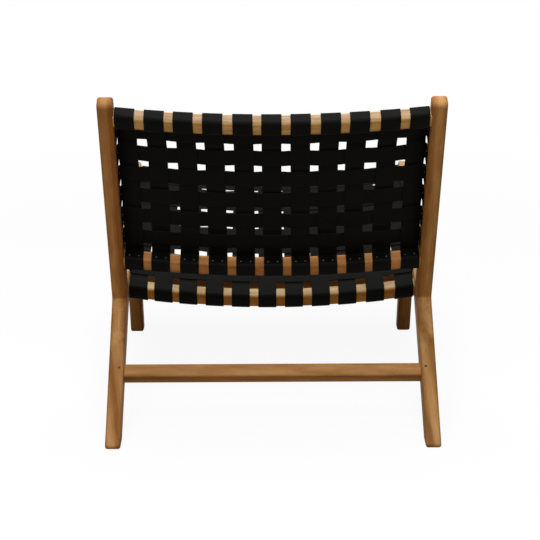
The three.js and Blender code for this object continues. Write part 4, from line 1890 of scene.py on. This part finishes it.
def woods(layout: Layout) -> dict[str, OiledHardwood]:
    """The wood of each piece, with its own tone, grain direction and pith line.

    The bent boards' grain turns at the elbow and slants a little across the rear legs. The painted
    sheen on the rails' upper faces is placed round a rail's section, where the UV map has a corner, the face
    out of the frame, a corner, the near face, and so on to the far face.

    Args:
        layout: The sizes that set the boards' directions.

    Returns:
        The wood by the piece's name.
    """
    post, leg = in_space(layout.back.along_degrees), in_space(layout.rear_leg.along_degrees)
    seatwise, legwise = in_space(layout.seat.along_degrees), in_space(layout.front_leg.along_degrees)
    left_bend = Bend(Grain(leg + LEFT_LEG_SLANT * ACROSS, (0.5285, -0.1574, -0.2606)))
    right_bend = Bend(Grain(leg + RIGHT_LEG_SLANT * ACROSS, (1.9485, 0.1694, -0.2606)))
    corner = layout.rail_round * math.pi / 2
    flat = layout.rail_width - 2 * layout.rail_round
    half = (corner + flat) / 2
    out_face = corner + flat / 2
    far_face = out_face + 3 * (corner + flat)
    # Painted sheen on the upper faces of the top rail and the seat rails.
    top_painted_sheen = PaintedSheenFace(far_face, half, (0.58, 0.615, 0.91))
    seat_painted_sheen = PaintedSheenFace(out_face, half, (1.0, 1.61, 3.65))
    top_grain = Grain(ACROSS, (0.20, -0.330, -0.560))
    seat_rear_grain = Grain(ACROSS, (2.70, -0.020, -0.170))
    seat_front_grain = Grain(ACROSS, (3.30, 0.380, -0.300))
    made = (
        OiledHardwood("rear_board_left", Grain(post, (0.31, -0.1574, -0.0348)), Tone.BROWN, bend=left_bend),
        OiledHardwood("rear_board_right", Grain(post, (1.73, 0.1574, -0.0348)), Tone.OLIVE, bend=right_bend),
        # The front boards and the front stretcher take the darker tone, painted shade for the seat's shadow
        # over them.
        OiledHardwood("front_board_left", Grain(legwise, (0.93, -0.268, 0.265)), Tone.DEEP_PAINTED_SHADE),
        OiledHardwood("front_board_right", Grain(legwise, (2.41, 0.350, 0.250)), Tone.DEEP_PAINTED_SHADE),
        OiledHardwood("side_rail_left", Grain(seatwise, (0.64, -0.270, 0.150)), Tone.TAN),
        OiledHardwood("side_rail_right", Grain(seatwise, (2.15, 0.355, 0.170)), Tone.TAN),
        OiledHardwood("rear_stretcher_bar", Grain(ACROSS, (4.10, -0.200, -0.060)), Tone.HONEY),
        OiledHardwood("front_stretcher_bar", Grain(ACROSS, (4.80, 0.340, -0.060)), Tone.DEEP_PAINTED_SHADE),
        OiledHardwood("back_top_rail_bar", top_grain, Tone.PALE, painted_sheen=top_painted_sheen),
        OiledHardwood("back_lower_rail_bar", Grain(ACROSS, (1.10, -0.150, -0.270)), Tone.WARM),
        OiledHardwood("seat_rear_rail_bar", seat_rear_grain, Tone.RUSSET, painted_sheen=seat_painted_sheen),
        OiledHardwood("seat_front_rail_bar", seat_front_grain, Tone.RUSSET, painted_sheen=seat_painted_sheen),
    )
    return {wood.name: wood for wood in made}


def panels(layout: Layout) -> tuple[BackPanel, SeatPanel]:
    """The back and the seat, with the places of their rails, rows and hand-laid straps.

    Args:
        layout: The sizes that the panels share with the frame.

    Returns:
        The back and the seat.
    """
    back_laid_mm = np.array([
        [-1.5, -0.7, -1.9, -2.6, -2.3, -2.1, -2.6, -1.4, 1.3, 2.4, 1.5],
        [-0.5, 2.6, 3.4, 1.1, -0.4, -0.5, -2.6, -1.8, -2.9, 0.4, 1.2],
        [0.5, 1.5, 6.7, 2.8, 1.8, 1.2, -1.6, -0.6, -3.0, -0.8, 1.2],
        [-1.5, -0.8, 1.0, 1.8, 1.9, 1.5, 1.3, 1.7, 1.8, 1.8, 1.5],
    ])
    seat_laid_mm = np.array([[-1.5, 4.1, 6.1, 7.2, 7.9, 8.7, 9.3, 9.8, 9.2, 6.5, 1.5]])
    back = BackPanel(
        layout=layout,
        name="back",
        place=layout.back,
        bow=layout.back_bow,
        rail_out=layout.back_rail_inset,
        rails_at=(layout.lower_rail_at, layout.top_rail_at),
        wraps=(3, 3),
        flaps=(0.020, 0.012),
        rows=np.array([0.1445, 0.1984, 0.2499, 0.3010, 0.3509, 0.40315]),
        laid_at=(0.0938, 0.1717, 0.3534, 0.4407),
        laid_by=back_laid_mm / 1000,
        seed=3,
    )
    seat = SeatPanel(
        layout=layout,
        name="seat",
        place=layout.seat,
        bow=layout.seat_bow,
        rail_out=-layout.rail_depth,
        rails_at=(0.0, layout.front_rail_at),
        wraps=(2, 2),
        flaps=(0.012, 0.012),
        rows=np.array([0.06375, 0.11675, 0.17075, 0.22875, 0.29025, 0.33675, 0.38125, 0.42375]),
        laid_at=(0.0,),
        laid_by=seat_laid_mm / 1000,
        seed=7,
    )
    return back, seat


def main() -> None:
    """Builds the studio, the frame, the straps and the tacks, in that order."""
    logging.basicConfig(level=logging.INFO, format="%(name)s %(message)s")
    layout = Layout()
    Studio().build()
    wood = woods(layout)
    SideBoards(layout).build(wood)
    rails = CrossRails(layout)
    rails.build(wood)
    peg_grain = Grain(in_space(layout.rear_leg.out_degrees), (5.2, 0.1, 0.1))
    Pegs(layout, rails).build(OiledHardwood("peg_end_grain", peg_grain, Tone.END_GRAIN))
    metal = TackMetal().material()
    for panel in panels(layout):
        long_leather = DyedLeather(f"{panel.name}_long_leather", panel.long_width)
        cross_leather = DyedLeather(f"{panel.name}_cross_leather", panel.cross_width)
        panel.build(long_leather, cross_leather)
        Tacks().build(panel, metal)


if __name__ == "__main__":
    main()
